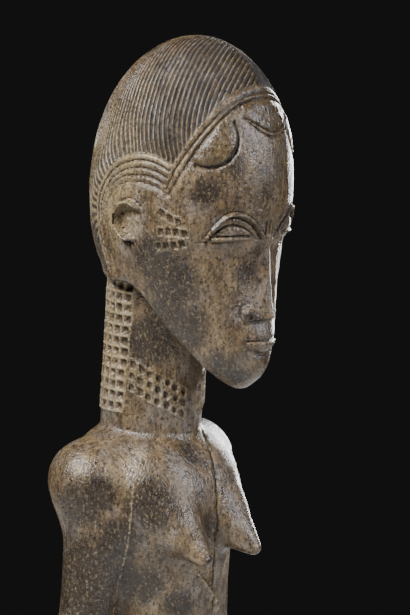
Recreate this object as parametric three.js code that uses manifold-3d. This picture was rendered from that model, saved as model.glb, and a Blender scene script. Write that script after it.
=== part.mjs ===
import * as THREE from "three";
import ManifoldModule from "manifold-3d";

// A standing female figure carved from one block of wood, on a low round base.
// Millimetres, +Z up. The figure faces -Y, its right hand is on -X.
// The origin is the middle of the underside.

const wasm = await ManifoldModule();
wasm.setup();
const { Manifold, Mesh } = wasm;

// heights
const TOTAL_H = 440;
const BASE_H = 22;
const BASE_R = 43;
const BASE_EDGE = 1.6;
const FEET_Z = BASE_H - 1.5;
const JAW_Z = 353;
const NAPE_Z = 359.5;
const SKULL_Z = 389.5;

// head
const CROWN_LEAN = -2.6;
const JAW_Y = -19.3;
const JAW_SLOPE = THREE.MathUtils.degToRad(55.4);
const HEAD_COLUMNS = 30;
const FACE_CROWDING = 0.4;
const HAIR_LOCKS = 27;
const LOCK_DEPTH = 1.2;
const HAIR_LIFT = 0.8;
const UNDER_HAIR = 1.6;
const HAIR_BAND = { below: 1.9, height: 0.6, groove: 0.15 };
// where each lock starts: its turn at the crown, then the turn and height of its foot
const HAIR_EDGE = [
  [0, 0, 421.3], [14, 14.7, 421], [25, 25.3, 418.8], [38, 37.7, 413.6], [50, 50.5, 406.4],
  [58, 58.5, 400.6], [68, 68, 401.7], [85, 85.5, 402.9], [100, 100, 401.3], [112, 109, 398.5],
  [124, 116, 392.5], [134, 119.5, 384], [143, 116.5, 374], [150, 111, 366], [156, 111, 361],
  [163, 130, 359.9], [171, 155, 359.7], [180, 180, 359.6],
];
const LOBES = [
  { x: 0, z: 418.2, halfWidth: 11.3, drop: 9.2 },
  { x: 18.6, z: 407.2, halfWidth: 7.4, drop: 8.0 },
];
const LOBE_RIM = { width: 0.8, height: 0.8 };
const BROW = { x: 13.0, z: 375.2, halfWidth: 9.4, rise: 8.6, width: 0.9, height: 1.0 };
const EYE = { x: 13.8, z: 376.6, halfWidth: 6.6, rise: 3.4, swell: 1.9, socket: 1.8 };
// the nose, row by row: height, half width at the foot, half width of the ridge, height off the face
const NOSE = [
  [380, 2.4, 0.8, 0.2], [374.5, 2.8, 0.9, 1.7], [368, 3.5, 1.0, 3.0], [361, 3.9, 1.1, 3.4],
  [355, 4.4, 1.3, 4.0], [351.4, 6.2, 1.6, 4.6], [349, 7.2, 1.8, 4.9], [347.4, 5.8, 1.2, 2.4],
];
const MOUTH = { z: 339.4, halfWidth: 8.2, rise: 2.6 };
const EAR = { y: -16.1, z: 380.9, halfWidth: 5.4, halfHeight: 6.4, rim: 1.35, height: 1.9 };
const EAR_BAND_PATH = [
  [-9.6, 364.5], [-5.8, 372], [-3.4, 380.5], [-4.8, 388.5], [-9.6, 394.6],
  [-16, 397.9], [-23, 398.8], [-30.6, 396.6],
];
const EAR_BAND_RIDGES = 2;
const EAR_BAND_HEIGHT = 0.8;

// neck
const NECK_R = 17;
const NECK_COLUMNS = 24;
const BACK_SCARS = {
  rows: 9, columns: 3, turn: 91, step: 12, drift: 5, topZ: 354.2, pitch: 4.5, height: 1.1,
};
const SIDE_SCARS = {
  rows: 3, columns: 5, from: 16, to: 70, topZ: 321.8, drop: 8.6, pitch: 3.8, height: 1.0,
};
const TEMPLE_SCARS = {
  rows: 3, columns: 4, y: -29.4, yPitch: -2.5, z: 382.4, zPitch: -4.4, height: 0.9,
};

// body
const TORSO_COLUMNS = 24;
// each station: x, y, z, half size across, half size fore and aft
const BREAST = [
  [9.8, -9.5, 286.6, 14.0, 14.8], [10.7, -13.8, 282.8, 11.9, 12.4], [11.6, -18.8, 278.6, 9.7, 10.0],
  [12.1, -25, 274.1, 7.0, 7.2], [12.5, -31, 270, 4.3, 4.4], [12.8, -35.4, 266.9, 1.8, 1.8],
];
const DELTOID = { top: [26.6, 4.2, 291.2], topR: 11.5, foot: [27.4, 1.4, 275], footR: 10.2 };
const TRAPEZE = { inner: [7, 5, 300.4], innerR: 10, outer: [25.6, 5, 292.2], outerR: 12.4 };
const BUTTOCK = { at: [11.5, 12.5, 168], radius: 14.5 };
const NAVEL = { z: 203, radius: 3.4, height: 2.6 };

// each limb station: x, y, z, half size across, half size fore and aft
const ARM = [
  [26.8, 3.2, 287, 8.8, 9.4], [27.2, 1.6, 279, 9.9, 11.6], [27.7, 0.8, 272, 9.5, 11.4],
  [28.4, 1.9, 262, 9.3, 10.3], [29.8, 3.4, 247, 9.0, 9.1], [31.8, 5.4, 226, 8.4, 8.9],
  [32.6, 6.2, 216, 8.0, 8.6],
];
const FOREARM = [
  [33.4, 12.6, 216.5, 5.2, 5.0], [33.0, 8.5, 213.5, 7.6, 7.4], [31.8, 1.5, 210.6, 7.0, 7.2],
  [29.0, -8.0, 208.8, 5.8, 6.4], [24.6, -16.4, 208.9, 4.4, 5.0], [21.0, -20.6, 209.5, 3.6, 4.7],
  [17.0, -23.4, 210.3, 3.0, 6.2], [13.0, -25.0, 211.0, 2.6, 6.8], [11.4, -25.5, 211.2, 2.4, 6.6],
];
const THUMB = [
  [18.2, -23.2, 215.4, 1.9, 1.9], [13.6, -25.0, 218.6, 1.7, 1.8], [10.6, -25.2, 220.2, 1.2, 1.3],
];
const FINGERS = { count: 4, length: 7.5, radius: 1.75, pitch: 3.25 };
const LEG = [
  [12.6, 1.5, 172, 13.6, 16.0], [13.8, 0, 158, 15.0, 16.8], [15.4, -3.4, 140, 13.8, 15.0],
  [16.6, -7.0, 120, 12.0, 12.8], [17.2, -9.8, 103, 10.6, 11.0], [17.3, -10.4, 94, 10.0, 10.2],
  [17.3, -6.0, 84, 9.6, 9.8], [17.3, -0.8, 72, 10.1, 11.4], [17.3, 1.4, 58, 9.0, 10.2],
  [17.3, 0.6, 42, 6.2, 6.9], [17.3, 0.6, 25, 6.6, 8.6],
];
const FOOT = {
  heelY: 9.5, toeY: -24.5, heelHalf: 6.2, ballHalf: 9.0, instep: 13.5, toeH: 6.4, turn: 2.2,
};
const TOES = { count: 5, radius: 2.05, length: 7 };

// curves through named stations, read as smooth functions of height
function curve(points) {
  const p = [...points].sort((a, b) => a[0] - b[0]);
  const d = [];
  for (let i = 0; i + 1 < p.length; i++) d.push((p[i + 1][1] - p[i][1]) / (p[i + 1][0] - p[i][0]));
  const m = p.map((_, i) => {
    if (i === 0) return d[0];
    if (i === p.length - 1) return d[i - 1];
    return d[i - 1] * d[i] > 0 ? (2 * d[i - 1] * d[i]) / (d[i - 1] + d[i]) : 0;
  });
  return (t) => {
    if (t <= p[0][0]) return p[0][1];
    if (t >= p[p.length - 1][0]) return p[p.length - 1][1];
    let i = 0;
    while (t > p[i + 1][0]) i++;
    const h = p[i + 1][0] - p[i][0];
    const u = (t - p[i][0]) / h;
    return (
      (1 + 2 * u) * (1 - u) ** 2 * p[i][1] + u * (1 - u) ** 2 * h * m[i] +
      u * u * (3 - 2 * u) * p[i + 1][1] + u * u * (u - 1) * h * m[i + 1]
    );
  };
}

const headFront = curve([
  [318, -30], [322, -34], [325, -39.5], [329, -45], [334, -47.6], [340, -48.0], [350, -47.3],
  [363, -47.2], [370.5, -47.8], [372.6, -48.4], [374.9, -49.9], [380, -51.5], [384, -52.1],
  [389.5, -52.4], [440, -52.4],
]);
const headBack = curve([
  [318, 5], [350, 5], [358, 9.5], [362, 13.5], [366, 15.8], [371, 17.4], [378, 18.2],
  [389.5, 18.3], [440, 18.3],
]);
const headWidth = curve([
  [318, 3], [322, 6.5], [325, 9.5], [329, 12.8], [335, 16.6], [345, 21.5], [355, 25],
  [365, 27.8], [377, 29.8], [389.5, 30.5], [440, 30.5],
]);
const headPower = curve([
  [318, 2], [330, 2], [345, 2], [365, 1.98], [380, 2.03], [389.5, 2.03], [440, 2],
]);
const headCentre = curve([
  [318, -22], [330, -22], [345, -20], [360, -18], [375, -17.3], [389.5, -17.2],
]);
const headSpine = curve([
  [323, -39.4], [326, -40], [335, -38.5], [345, -33.5], [357, -26], [370, -19.5], [385, -17.4],
  [440, -19.8],
]);
const torsoWidth = curve([
  [140, 16], [150, 24], [160, 28.5], [175, 29.5], [190, 26.5], [205, 22.5], [220, 19.5], [232, 19],
  [245, 19.6], [258, 22], [272, 26], [284, 29], [292, 29.5], [298, 28], [302, 25], [305, 21],
  [308, 15], [310, 10],
]);
const torsoFront = curve([
  [140, -9], [150, -13], [160, -16.5], [175, -19.5], [190, -22.5], [205, -24], [220, -23],
  [235, -22.4], [250, -22.7], [262, -24], [275, -25.4], [285, -26], [292, -24.8], [298, -21.6],
  [303, -18], [307, -14], [310, -8],
]);
const torsoBack = curve([
  [140, 12], [150, 18], [160, 23], [172, 24.5], [188, 20], [205, 13.5], [222, 11], [235, 11],
  [250, 12.8], [265, 14.6], [280, 17], [292, 20.5], [300, 21.5], [304, 20.5], [307, 17], [310, 9],
]);
const torsoPower = curve([[140, 2], [200, 2], [250, 2], [290, 2.1], [310, 2.1]]);

// soft joins of two signed distances
function blend(a, b, k) {
  const h = THREE.MathUtils.clamp(0.5 + (0.5 * (b - a)) / k, 0, 1);
  return b + (a - b) * h - k * h * (1 - h);
}
const carve = (a, b, k) => -blend(-a, -b, k);

function swell(t, half) {
  const s = Math.max(0, 1 - (t / half) ** 2);
  return s * s;
}

function ease(lo, hi, t) {
  const s = THREE.MathUtils.clamp((t - lo) / (hi - lo), 0, 1);
  return s * s * (3 - 2 * s);
}

function taper(x, y, z, a, ra, b, rb) {
  const abx = b[0] - a[0], aby = b[1] - a[1], abz = b[2] - a[2];
  const px = x - a[0], py = y - a[1], pz = z - a[2];
  const t = THREE.MathUtils.clamp(
    (px * abx + py * aby + pz * abz) / (abx * abx + aby * aby + abz * abz), 0, 1);
  return Math.hypot(px - t * abx, py - t * aby, pz - t * abz) - (ra + t * (rb - ra));
}

// the skull, drawn in under the jaw and at the nape
function skull(x, y, z) {
  const up = Math.max(z - SKULL_Z, 0);
  const high = TOTAL_H - SKULL_Z;
  const mid = headCentre(z);
  const c = mid + (CROWN_LEAN * up) / high;
  const n = headPower(z);
  const depth = y < c ? mid - headFront(z) : headBack(z) - mid;
  let q = (Math.abs(x / headWidth(z)) ** n + Math.abs((y - c) / depth) ** n) ** (2 / n);
  q = Math.sqrt(q + (up / high) ** 2);
  const r = Math.hypot(x, y - c, up) + 1e-6;
  const body = r - r / Math.max(q, 1e-6);
  const jaw = Math.sin(JAW_SLOPE) * (y - JAW_Y) - Math.cos(JAW_SLOPE) * (z - JAW_Z);
  return carve(body, blend(jaw, NAPE_Z - z, 4), 2.5);
}

// how far the features stand out of the face, seen from the front
function features(x, z) {
  const ax = Math.abs(x);
  let out = 0;
  const ex = (ax - EYE.x) / (EYE.halfWidth + 3.4);
  const ez = (z - EYE.z) / (z > EYE.z ? 7.6 : 9);
  out -= EYE.socket * swell(Math.hypot(ex, ez), 1);
  out += EYE.swell * swell(Math.hypot((ax - EYE.x) / EYE.halfWidth, (z - EYE.z) / EYE.rise), 1);
  const mx = x / MOUTH.halfWidth;
  out += MOUTH.rise * swell(Math.hypot(mx * 0.86, (z - MOUTH.z) / (2 * MOUTH.rise)), 1);
  out -= 0.9 * swell(mx, 0.95) * swell(z - MOUTH.z, 0.9);
  return out;
}

function head(x, y, z) {
  const facing = ease(-24, -34, y);
  return skull(x, y, z) - facing * features(x, z);
}

function torso(x, y, z) {
  const f = torsoFront(z), b = torsoBack(z), w = torsoWidth(z), n = torsoPower(z);
  const c = (f + b) / 2;
  const depth = y < c ? c - f : b - c;
  const q = (Math.abs(x / w) ** n + Math.abs((y - c) / depth) ** n) ** (1 / n);
  const r = Math.hypot(x, y - c) + 1e-6;
  const ax = Math.abs(x);
  let d = r - r / Math.max(q, 1e-6);
  d = blend(d, taper(ax, y, z, DELTOID.top, DELTOID.topR, DELTOID.foot, DELTOID.footR), 3);
  d = blend(d, taper(ax, y, z, TRAPEZE.inner, TRAPEZE.innerR, TRAPEZE.outer, TRAPEZE.outerR), 4);
  const [bx, by, bz] = BUTTOCK.at;
  return blend(d, Math.hypot(ax - bx, y - by, z - bz) - BUTTOCK.radius, 4);
}

// distance from a spine point out to the surface
function reach(field, cx, cy, cz, dx, dy, dz, far) {
  let outer = far, inner = 0;
  for (let r = far; r > 0; r -= far / 60) {
    if (field(cx + dx * r, cy + dy * r, cz + dz * r) < 0) { inner = r; break; }
    outer = r;
  }
  for (let i = 0; i < 24; i++) {
    const mid = (inner + outer) / 2;
    if (field(cx + dx * mid, cy + dy * mid, cz + dz * mid) < 0) inner = mid; else outer = mid;
  }
  return inner;
}

function gap(positions, a, b) {
  return Math.hypot(...[0, 1, 2].map((k) => positions[3 * a + k] - positions[3 * b + k]));
}

// a closed skin over rings of points, with a point at each end
function skin(rings, first, last) {
  const n = rings[0].length;
  const positions = [...first];
  for (const ring of rings) for (const p of ring) positions.push(...p);
  positions.push(...last);
  const index = [];
  const at = (i, j) => 1 + i * n + ((j + n) % n);
  const end = 1 + rings.length * n;
  for (let j = 0; j < n; j++) {
    index.push(0, at(0, j + 1), at(0, j));
    index.push(end, at(rings.length - 1, j), at(rings.length - 1, j + 1));
  }
  for (let i = 0; i + 1 < rings.length; i++) {
    for (let j = 0; j < n; j++) {
      const a = at(i, j), b = at(i, j + 1), c = at(i + 1, j + 1), d = at(i + 1, j);
      if (gap(positions, b, d) < gap(positions, a, c) - 1e-4) index.push(a, b, d, b, c, d);
      else index.push(a, b, c, a, c, d);
    }
  }
  return solid(positions, index);
}

function solid(positions, index) {
  const mesh = new Mesh({
    numProp: 3, vertProperties: new Float32Array(positions), triVerts: new Uint32Array(index),
  });
  mesh.merge();
  const made = new Manifold(mesh);
  return made.volume() < 0 ? solid(positions, flipped(index)) : made;
}

function flipped(index) {
  const out = [];
  for (let i = 0; i < index.length; i += 3) out.push(index[i], index[i + 2], index[i + 1]);
  return out;
}

const middle = (ring) => [0, 1, 2].map((k) => ring.reduce((s, p) => s + p[k], 0) / ring.length);

const mirror = (made) => made.mirror([1, 0, 0]);

function pair(made) {
  return [made, mirror(made)];
}

function headBlock() {
  const rows = [
    325.6, 328.6, 333, 337.2, 339.4, 341.6, 345.6, 351, 358.7, 360.6, 366, 371, 374,
    376.4, 378.8, 382, 388, 396, 405, 413, 421, 430,
  ];
  const rings = rows.map((z) => {
    const ring = [];
    const cy = headSpine(z);
    for (let j = 0; j < HEAD_COLUMNS; j++) {
      const t = (j / HEAD_COLUMNS) * 2 * Math.PI;
      const turn = t - FACE_CROWDING * Math.sin(t);
      const dx = Math.sin(turn), dy = -Math.cos(turn);
      const face = reach(head, 0, cy, z, dx, dy, 0, 60);
      const y = cy + dy * face;
      const under = Math.max(ease(418, 424, z), ease(1, 7, y) * ease(360, 366, z));
      const r = face - UNDER_HAIR * under;
      ring.push([dx * r, cy + dy * r, z]);
    }
    return ring;
  });
  const low = middle(rings[0]);
  return skin(rings, [low[0], low[1], low[2] - 0.5], [0, headSpine(TOTAL_H), 433]);
}

// the cap of hair: locks that run from the crown down to the hairline, over the ears and to the nape
function hairBlock() {
  const half = [];
  for (let j = 0; j <= HAIR_LOCKS; j++) half.push((180 * j) / HAIR_LOCKS);
  const turns = [...half, ...half.slice(1, -1).map((t) => -t).reverse()];
  const footTurn = curve(HAIR_EDGE.map(([t, turn]) => [t, turn]));
  const footZ = curve(HAIR_EDGE.map(([t, , z]) => [t, z]));
  const hairTop = TOTAL_H - HAIR_LIFT * 0.5;
  const b = HAIR_BAND;
  const courses = [
    [-b.below, 0, -1.2], [-b.below + 0.5, 0, b.height], [0, 0, b.height], [0.8, 0, b.groove],
    [1.6, 0, HAIR_LIFT], [0, 0.15, 1], [0, 0.32, 1], [0, 0.5, 1], [0, 0.68, 1],
    [0, 0.84, 1], [0, 0.95, 1],
  ];
  const rings = courses.map(([shift, part, lift]) =>
    turns.map((t, j) => {
      const at = Math.abs(t);
      const foot = footTurn(at);
      const z0 = footZ(at);
      const z = Math.max(z0 + shift + (hairTop - z0) * part, NAPE_Z + (lift < 0 ? -0.4 : 0.1));
      const swept = foot + (at - foot) * (1 - (1 - part) ** 2.5);
      const a = THREE.MathUtils.degToRad(Math.sign(t) * swept);
      const cy = headSpine(Math.max(z, 372));
      const r = reach(skull, 0, cy, z, Math.sin(a), -Math.cos(a), 0, 60);
      const flute = part > 0 ? (j % 2 ? LOCK_DEPTH : 0) * ease(1, 0.86, part) : 0;
      const out = part > 0 ? HAIR_LIFT * ease(1.02, 0.9, part) - LOCK_DEPTH * 0.4 + flute : lift;
      return [Math.sin(a) * (r + out), cy - Math.cos(a) * (r + out), z];
    }));
  return skin(rings, middle(rings[0]), [0, headSpine(TOTAL_H), TOTAL_H]);
}

function noseBlock() {
  const rings = NOSE.map(([z, foot, top, out]) => {
    const face = fromFront(0, z).y;
    return [[-foot, face + 3, z], [-foot, face + (foot > 4 ? -0.9 : 0.3), z], [-top, face - out, z],
      [top, face - out, z], [foot, face + (foot > 4 ? -0.9 : 0.3), z], [foot, face + 3, z]];
  });
  return skin(rings, middle(rings[0]), middle(rings[rings.length - 1]));
}

// points on the head, found from the front and from the side
function fromFront(x, z) {
  const r = reach((a, b, c) => head(a, b, c), x, -20, z, 0, -1, 0, 45);
  return new THREE.Vector3(x, -20 - r, z);
}

function fromSide(y, z) {
  const r = reach((a, b, c) => head(a, b, c), 0, y, z, 1, 0, 0, 45);
  return new THREE.Vector3(r, y, z);
}

function outward(p) {
  const e = 0.4;
  return new THREE.Vector3(
    skull(p.x + e, p.y, p.z) - skull(p.x - e, p.y, p.z),
    skull(p.x, p.y + e, p.z) - skull(p.x, p.y - e, p.z),
    skull(p.x, p.y, p.z + e) - skull(p.x, p.y, p.z - e),
  ).normalize();
}

// a raised line on the head, with a bevelled section, along points on the skin
function ridge(points, halfWidth, height, offset = 0) {
  const rings = points.map((p, i) => {
    const ahead = points[Math.min(i + 1, points.length - 1)];
    const behind = points[Math.max(i - 1, 0)];
    const n = outward(p);
    const side = ahead.clone().sub(behind).cross(n).normalize();
    const c = p.clone().addScaledVector(side, offset);
    const corner = (s, h) => c.clone().addScaledVector(side, s).addScaledVector(n, h).toArray();
    return [corner(-halfWidth, -0.9), corner(0, height), corner(halfWidth, -0.9)];
  });
  return skin(rings, middle(rings[0]), middle(rings[rings.length - 1]));
}

function arcPoints(cx, cz, halfWidth, rise, from, to, count, place) {
  const points = [];
  for (let i = 0; i <= count; i++) {
    const a = THREE.MathUtils.degToRad(from + ((to - from) * i) / count);
    points.push(place(cx + halfWidth * Math.cos(a), cz + rise * Math.sin(a)));
  }
  return points;
}

function spread(points, count) {
  const path = new THREE.CatmullRomCurve3(points.map(([y, z]) => new THREE.Vector3(0, y, z)));
  return path.getSpacedPoints(count).map((p) => [p.y, p.z]);
}

function headCarving() {
  const made = [];
  const [centre, side] = LOBES;
  const front = arcPoints(centre.x, centre.z, centre.halfWidth, centre.drop, 188, 352, 6, fromFront);
  made.push(ridge(front, LOBE_RIM.width, LOBE_RIM.height));
  const temple = arcPoints(side.x, side.z, side.halfWidth, side.drop, 158, 318, 5, fromFront);
  made.push(...pair(ridge(temple, LOBE_RIM.width, LOBE_RIM.height)));
  const b = BROW;
  const brow = arcPoints(b.x, b.z, b.halfWidth, b.rise, 176, 0, 7, fromFront);
  made.push(...pair(ridge(brow, b.width, b.height)));
  const e = EYE;
  const lid = arcPoints(e.x, e.z - 0.6, e.halfWidth, e.rise + 1.2, 172, 8, 4, fromFront);
  made.push(...pair(ridge(lid, 0.55, 0.6)));
  const ear = arcPoints(EAR.y, EAR.z, EAR.halfWidth, EAR.halfHeight, 205, -78, 8, fromSide);
  made.push(...pair(ridge(ear, EAR.rim, EAR.height)));
  const band = spread(EAR_BAND_PATH, 6).map(([y, z]) => fromSide(y, z));
  for (let k = 0; k < EAR_BAND_RIDGES; k++) {
    const offset = (k - (EAR_BAND_RIDGES - 1) / 2) * 3;
    made.push(...pair(ridge(band, 1.3, EAR_BAND_HEIGHT, offset)));
  }
  const s = TEMPLE_SCARS;
  made.push(...pair(scarPatch(s.rows, s.columns, s.height, (row, column, lift) => {
    const p = fromSide(s.y + s.yPitch * column, s.z + s.zPitch * row);
    return p.addScaledVector(outward(p), lift);
  })));
  return made;
}

// a patch of raised scars: every second point of a grid stands out, and the rim is sunk
function scarPatch(rows, columns, height, place) {
  const rings = [];
  for (let i = 0; i <= 2 * rows; i++) {
    const row = (i - 1) / 2;
    const ring = [];
    for (let j = 0; j <= 2 * columns; j++) {
      const rim = i === 0 || j === 0 || i === 2 * rows || j === 2 * columns;
      const raised = i % 2 === 1 && j % 2 === 1;
      ring.push(place(row, (j - 1) / 2, rim ? -0.4 : raised ? height : 0.1).toArray());
    }
    ring.push(place(row, columns - 0.5, -2).toArray(), place(row, -0.5, -2).toArray());
    rings.push(ring);
  }
  return skin(rings, middle(rings[0]), middle(rings[rings.length - 1]));
}

const neckY = (z) => THREE.MathUtils.mapLinear(z, 300, 365, 1.2, -4.6);

function neckPoint(turn, z, lift = 0) {
  const a = THREE.MathUtils.degToRad(turn);
  const r = NECK_R + 0.02 * Math.max(0, z - 335) + lift;
  return new THREE.Vector3(r * Math.sin(a), neckY(z) - r * Math.cos(a), z);
}

// the neck, with patches of scars on both sides of the back and on both flanks
function neckBlock() {
  const rings = [296, 312, 332, 352, 371].map((z) =>
    Array.from({ length: NECK_COLUMNS }, (_, j) => neckPoint((360 * j) / NECK_COLUMNS, z).toArray()));
  const made = [skin(rings, [0, neckY(296), 295.5], [0, neckY(371), 371.5])];
  const b = BACK_SCARS;
  made.push(...pair(scarPatch(b.rows, b.columns, b.height, (row, column, lift) => {
    const z = b.topZ - b.pitch * row;
    const drift = b.drift * (row / b.rows);
    return neckPoint(b.turn + drift + b.step * column, z, lift);
  })));
  const s = SIDE_SCARS;
  made.push(...pair(scarPatch(s.rows, s.columns, s.height, (row, column, lift) => {
    const f = column / (s.columns - 1);
    return neckPoint(s.from + (s.to - s.from) * f, s.topZ - s.pitch * row + s.drop * f, lift);
  })));
  return made;
}

function torsoBlock() {
  const rows = [
    143, 154, 167, 180, 194, 208, 224, 240, 255, 267, 277, 286, 293, 299, 304, 307.6,
    309.6,
  ];
  const spine = (z) => (torsoFront(z) + torsoBack(z)) / 2;
  const rings = rows.map((z) => {
    const ring = [];
    for (let j = 0; j < TORSO_COLUMNS; j++) {
      const t = ((j + 0.5) / TORSO_COLUMNS) * 2 * Math.PI;
      const turn = t - 0.3 * Math.sin(t);
      const dx = Math.sin(turn), dy = -Math.cos(turn);
      const r = reach(torso, 0, spine(z), z, dx, dy, 0, 60);
      ring.push([dx * r, spine(z) + dy * r, z]);
    }
    return ring;
  });
  return skin(rings, middle(rings[0]), middle(rings[rings.length - 1]));
}

// a limb: oval sections square to the line through its stations
function limb(stations, sides) {
  const at = stations.map(([x, y, z]) => new THREE.Vector3(x, y, z));
  const rings = stations.map(([, , , across, fore], i) => {
    const ahead = at[Math.min(i + 1, at.length - 1)];
    const behind = at[Math.max(i - 1, 0)];
    const along = ahead.clone().sub(behind).normalize();
    const u = new THREE.Vector3(1, 0, 0).addScaledVector(along, -along.x);
    if (Math.abs(along.x) > 0.5) u.set(0, -1, 0).addScaledVector(along, along.y);
    u.normalize();
    const v = along.clone().cross(u);
    return Array.from({ length: sides }, (_, j) => {
      const a = ((j + 0.5) / sides) * 2 * Math.PI;
      const p = at[i].clone().addScaledVector(u, across * Math.cos(a));
      return p.addScaledVector(v, fore * Math.sin(a)).toArray();
    });
  });
  return skin(rings, middle(rings[0]), middle(rings[rings.length - 1]));
}

function handFingers() {
  const made = [];
  const [wristX, wristY, wristZ] = FOREARM[FOREARM.length - 1];
  for (let k = 0; k < FINGERS.count; k++) {
    const z = wristZ + (k - (FINGERS.count - 1) / 2) * FINGERS.pitch;
    const tip = FINGERS.length * (k === 1 || k === 2 ? 1 : 0.86);
    const r = FINGERS.radius;
    made.push(...pair(limb([
      [wristX + 3.2, wristY + 0.6, z, r, r], [wristX - tip, wristY - 0.4, z, r * 0.8, r * 0.9],
    ], 5)));
  }
  made.push(...pair(limb(THUMB, 5)));
  return made;
}

function footBlock() {
  const made = [];
  const f = FOOT;
  const rows = 5;
  const rings = [];
  for (let i = 0; i <= rows; i++) {
    const s = i / rows;
    const y = f.heelY + (f.toeY + 5 - f.heelY) * s;
    const half = THREE.MathUtils.lerp(f.heelHalf, f.ballHalf, ease(0.15, 0.85, s)) * (i === 0 ? 0.6 : 1);
    const high = i === 0 ? 7 : THREE.MathUtils.lerp(f.instep, f.toeH, ease(0.2, 1, s));
    const x = LEG[LEG.length - 1][0] + f.turn * s;
    const ring = [];
    for (let j = 0; j < 8; j++) {
      const a = (j / 8) * 2 * Math.PI;
      const up = Math.sin(a);
      ring.push([x + half * Math.cos(a), y, FEET_Z + (up > 0 ? high * up : 1.2 * up)]);
    }
    rings.push(ring);
  }
  made.push(...pair(skin(rings, middle(rings[0]), middle(rings[rings.length - 1]))));
  for (let k = 0; k < TOES.count; k++) {
    const across = (k - (TOES.count - 1) / 2) * (TOES.radius * 1.8);
    const x = LEG[LEG.length - 1][0] + f.turn + across;
    const reachY = f.toeY + Math.abs(k - 1.2) * 0.9;
    const r = TOES.radius * (k === 0 ? 1.12 : 1);
    made.push(...pair(limb([
      [x, f.toeY + TOES.length, FEET_Z + 3.6, r, r], [x, reachY, FEET_Z + 2.2, r * 0.8, r * 0.9],
    ], 5)));
  }
  return made;
}

function navelBlock() {
  const y = torsoFront(NAVEL.z);
  return limb([
    [0, y + 3, NAVEL.z, NAVEL.radius * 1.2, NAVEL.radius * 1.2],
    [0, y - 0.4, NAVEL.z, NAVEL.radius, NAVEL.radius],
    [0, y - NAVEL.height, NAVEL.z, NAVEL.radius * 0.55, NAVEL.radius * 0.55],
  ], 8);
}

function baseBlock() {
  const n = 32;
  const profile = [
    [BASE_R - BASE_EDGE, 0], [BASE_R, BASE_EDGE], [BASE_R - 0.4, BASE_H - BASE_EDGE],
    [BASE_R - BASE_EDGE - 0.6, BASE_H],
  ];
  const rings = profile.map(([r, z]) =>
    Array.from({ length: n }, (_, j) => {
      const a = (j / n) * 2 * Math.PI;
      return [r * Math.cos(a), r * Math.sin(a), z];
    }));
  return skin(rings, [0, 0, 0], [0, 0, BASE_H]);
}

const blocks = [
  headBlock(), hairBlock(), noseBlock(), ...headCarving(), ...neckBlock(), torsoBlock(),
  ...pair(limb(ARM, 8)), ...pair(limb(FOREARM, 8)), ...handFingers(), ...pair(limb(LEG, 9)),
  ...footBlock(), ...pair(limb(BREAST, 10)), navelBlock(), baseBlock(),
];
// the outer skin alone, without the small pockets where the carving lies on the head
const whole = Manifold.union(blocks).decompose().sort((a, b) => b.volume() - a.volume())[0];

function toGeometry(made) {
  const mesh = made.getMesh();
  const geometry = new THREE.BufferGeometry();
  geometry.setAttribute("position", new THREE.BufferAttribute(new Float32Array(mesh.vertProperties), 3));
  geometry.setIndex(new THREE.BufferAttribute(new Uint32Array(mesh.triVerts), 1));
  const flat = geometry.toNonIndexed();
  flat.computeVertexNormals();
  return flat;
}

const figure = new THREE.Mesh(
  toGeometry(whole),
  new THREE.MeshStandardMaterial({ color: 0x6f5b45, roughness: 0.6 }),
);
figure.name = "figure";

const root = new THREE.Group();
root.name = "standing_figure";
root.add(figure);

export default root;
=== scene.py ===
import math

import bpy
import numpy as np
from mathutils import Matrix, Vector


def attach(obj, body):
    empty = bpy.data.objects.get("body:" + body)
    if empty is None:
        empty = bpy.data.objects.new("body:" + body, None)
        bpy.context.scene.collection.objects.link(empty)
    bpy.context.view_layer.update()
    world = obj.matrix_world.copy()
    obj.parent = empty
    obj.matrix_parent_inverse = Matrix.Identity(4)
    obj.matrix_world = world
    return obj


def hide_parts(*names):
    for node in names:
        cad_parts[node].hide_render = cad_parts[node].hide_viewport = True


# A standing female figure carved from one block of dark, worn wood, on a low round base.
# The frame and the camera are in metres. The carving is worked out in millimetres, with the
# figure facing -Y and its right hand on -X, and is turned to metres where its mesh is made.

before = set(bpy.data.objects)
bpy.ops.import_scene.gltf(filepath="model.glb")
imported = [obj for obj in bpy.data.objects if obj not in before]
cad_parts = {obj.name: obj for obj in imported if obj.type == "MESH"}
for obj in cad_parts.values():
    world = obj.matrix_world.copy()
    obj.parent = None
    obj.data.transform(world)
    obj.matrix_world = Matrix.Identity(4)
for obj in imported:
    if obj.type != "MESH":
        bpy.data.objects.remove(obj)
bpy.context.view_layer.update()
MM = 0.001

# the main sizes of the carving, in mm
TOTAL_H = 440.0
BASE_H = 22.0
BASE_R = 43.0
# the head is widest at SKULL_Z, and the crown rises above it as half an egg that leans forward
SKULL_Z = 389.5
CROWN_LEAN = -2.6
# the level edge of the head at the nape, and the slanting plane under the jaw
NAPE_Z = 359.5
JAW_Y, JAW_Z, JAW_SLOPE = -19.3, 353.0, math.radians(55.4)
# the upright line about which places on the head are unrolled, and the radius of that roll
HEAD_AXIS_Y = -17.4
UNROLL_R = 32.0


def curve(points):
    """A smooth function through the given (value, result) points, with no swing past them."""
    p = np.array(sorted(points), float)
    t, v = p[:, 0], p[:, 1]
    h = np.diff(t)
    d = np.diff(v) / h
    m = np.zeros_like(v)
    m[0], m[-1] = d[0], d[-1]
    for i in range(1, len(v) - 1):
        if d[i - 1] * d[i] > 0:
            m[i] = 2 * d[i - 1] * d[i] / (d[i - 1] + d[i])
    s = np.linspace(t[0], t[-1], 800)
    i = np.clip(np.searchsorted(t, s, side="right") - 1, 0, len(t) - 2)
    u = (s - t[i]) / h[i]
    line = (
        (1 + 2 * u) * (1 - u) ** 2 * v[i] + u * (1 - u) ** 2 * h[i] * m[i]
        + u * u * (3 - 2 * u) * v[i + 1] + u * u * (u - 1) * h[i] * m[i + 1]
    )
    return lambda q: np.interp(q, s, line)


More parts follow.
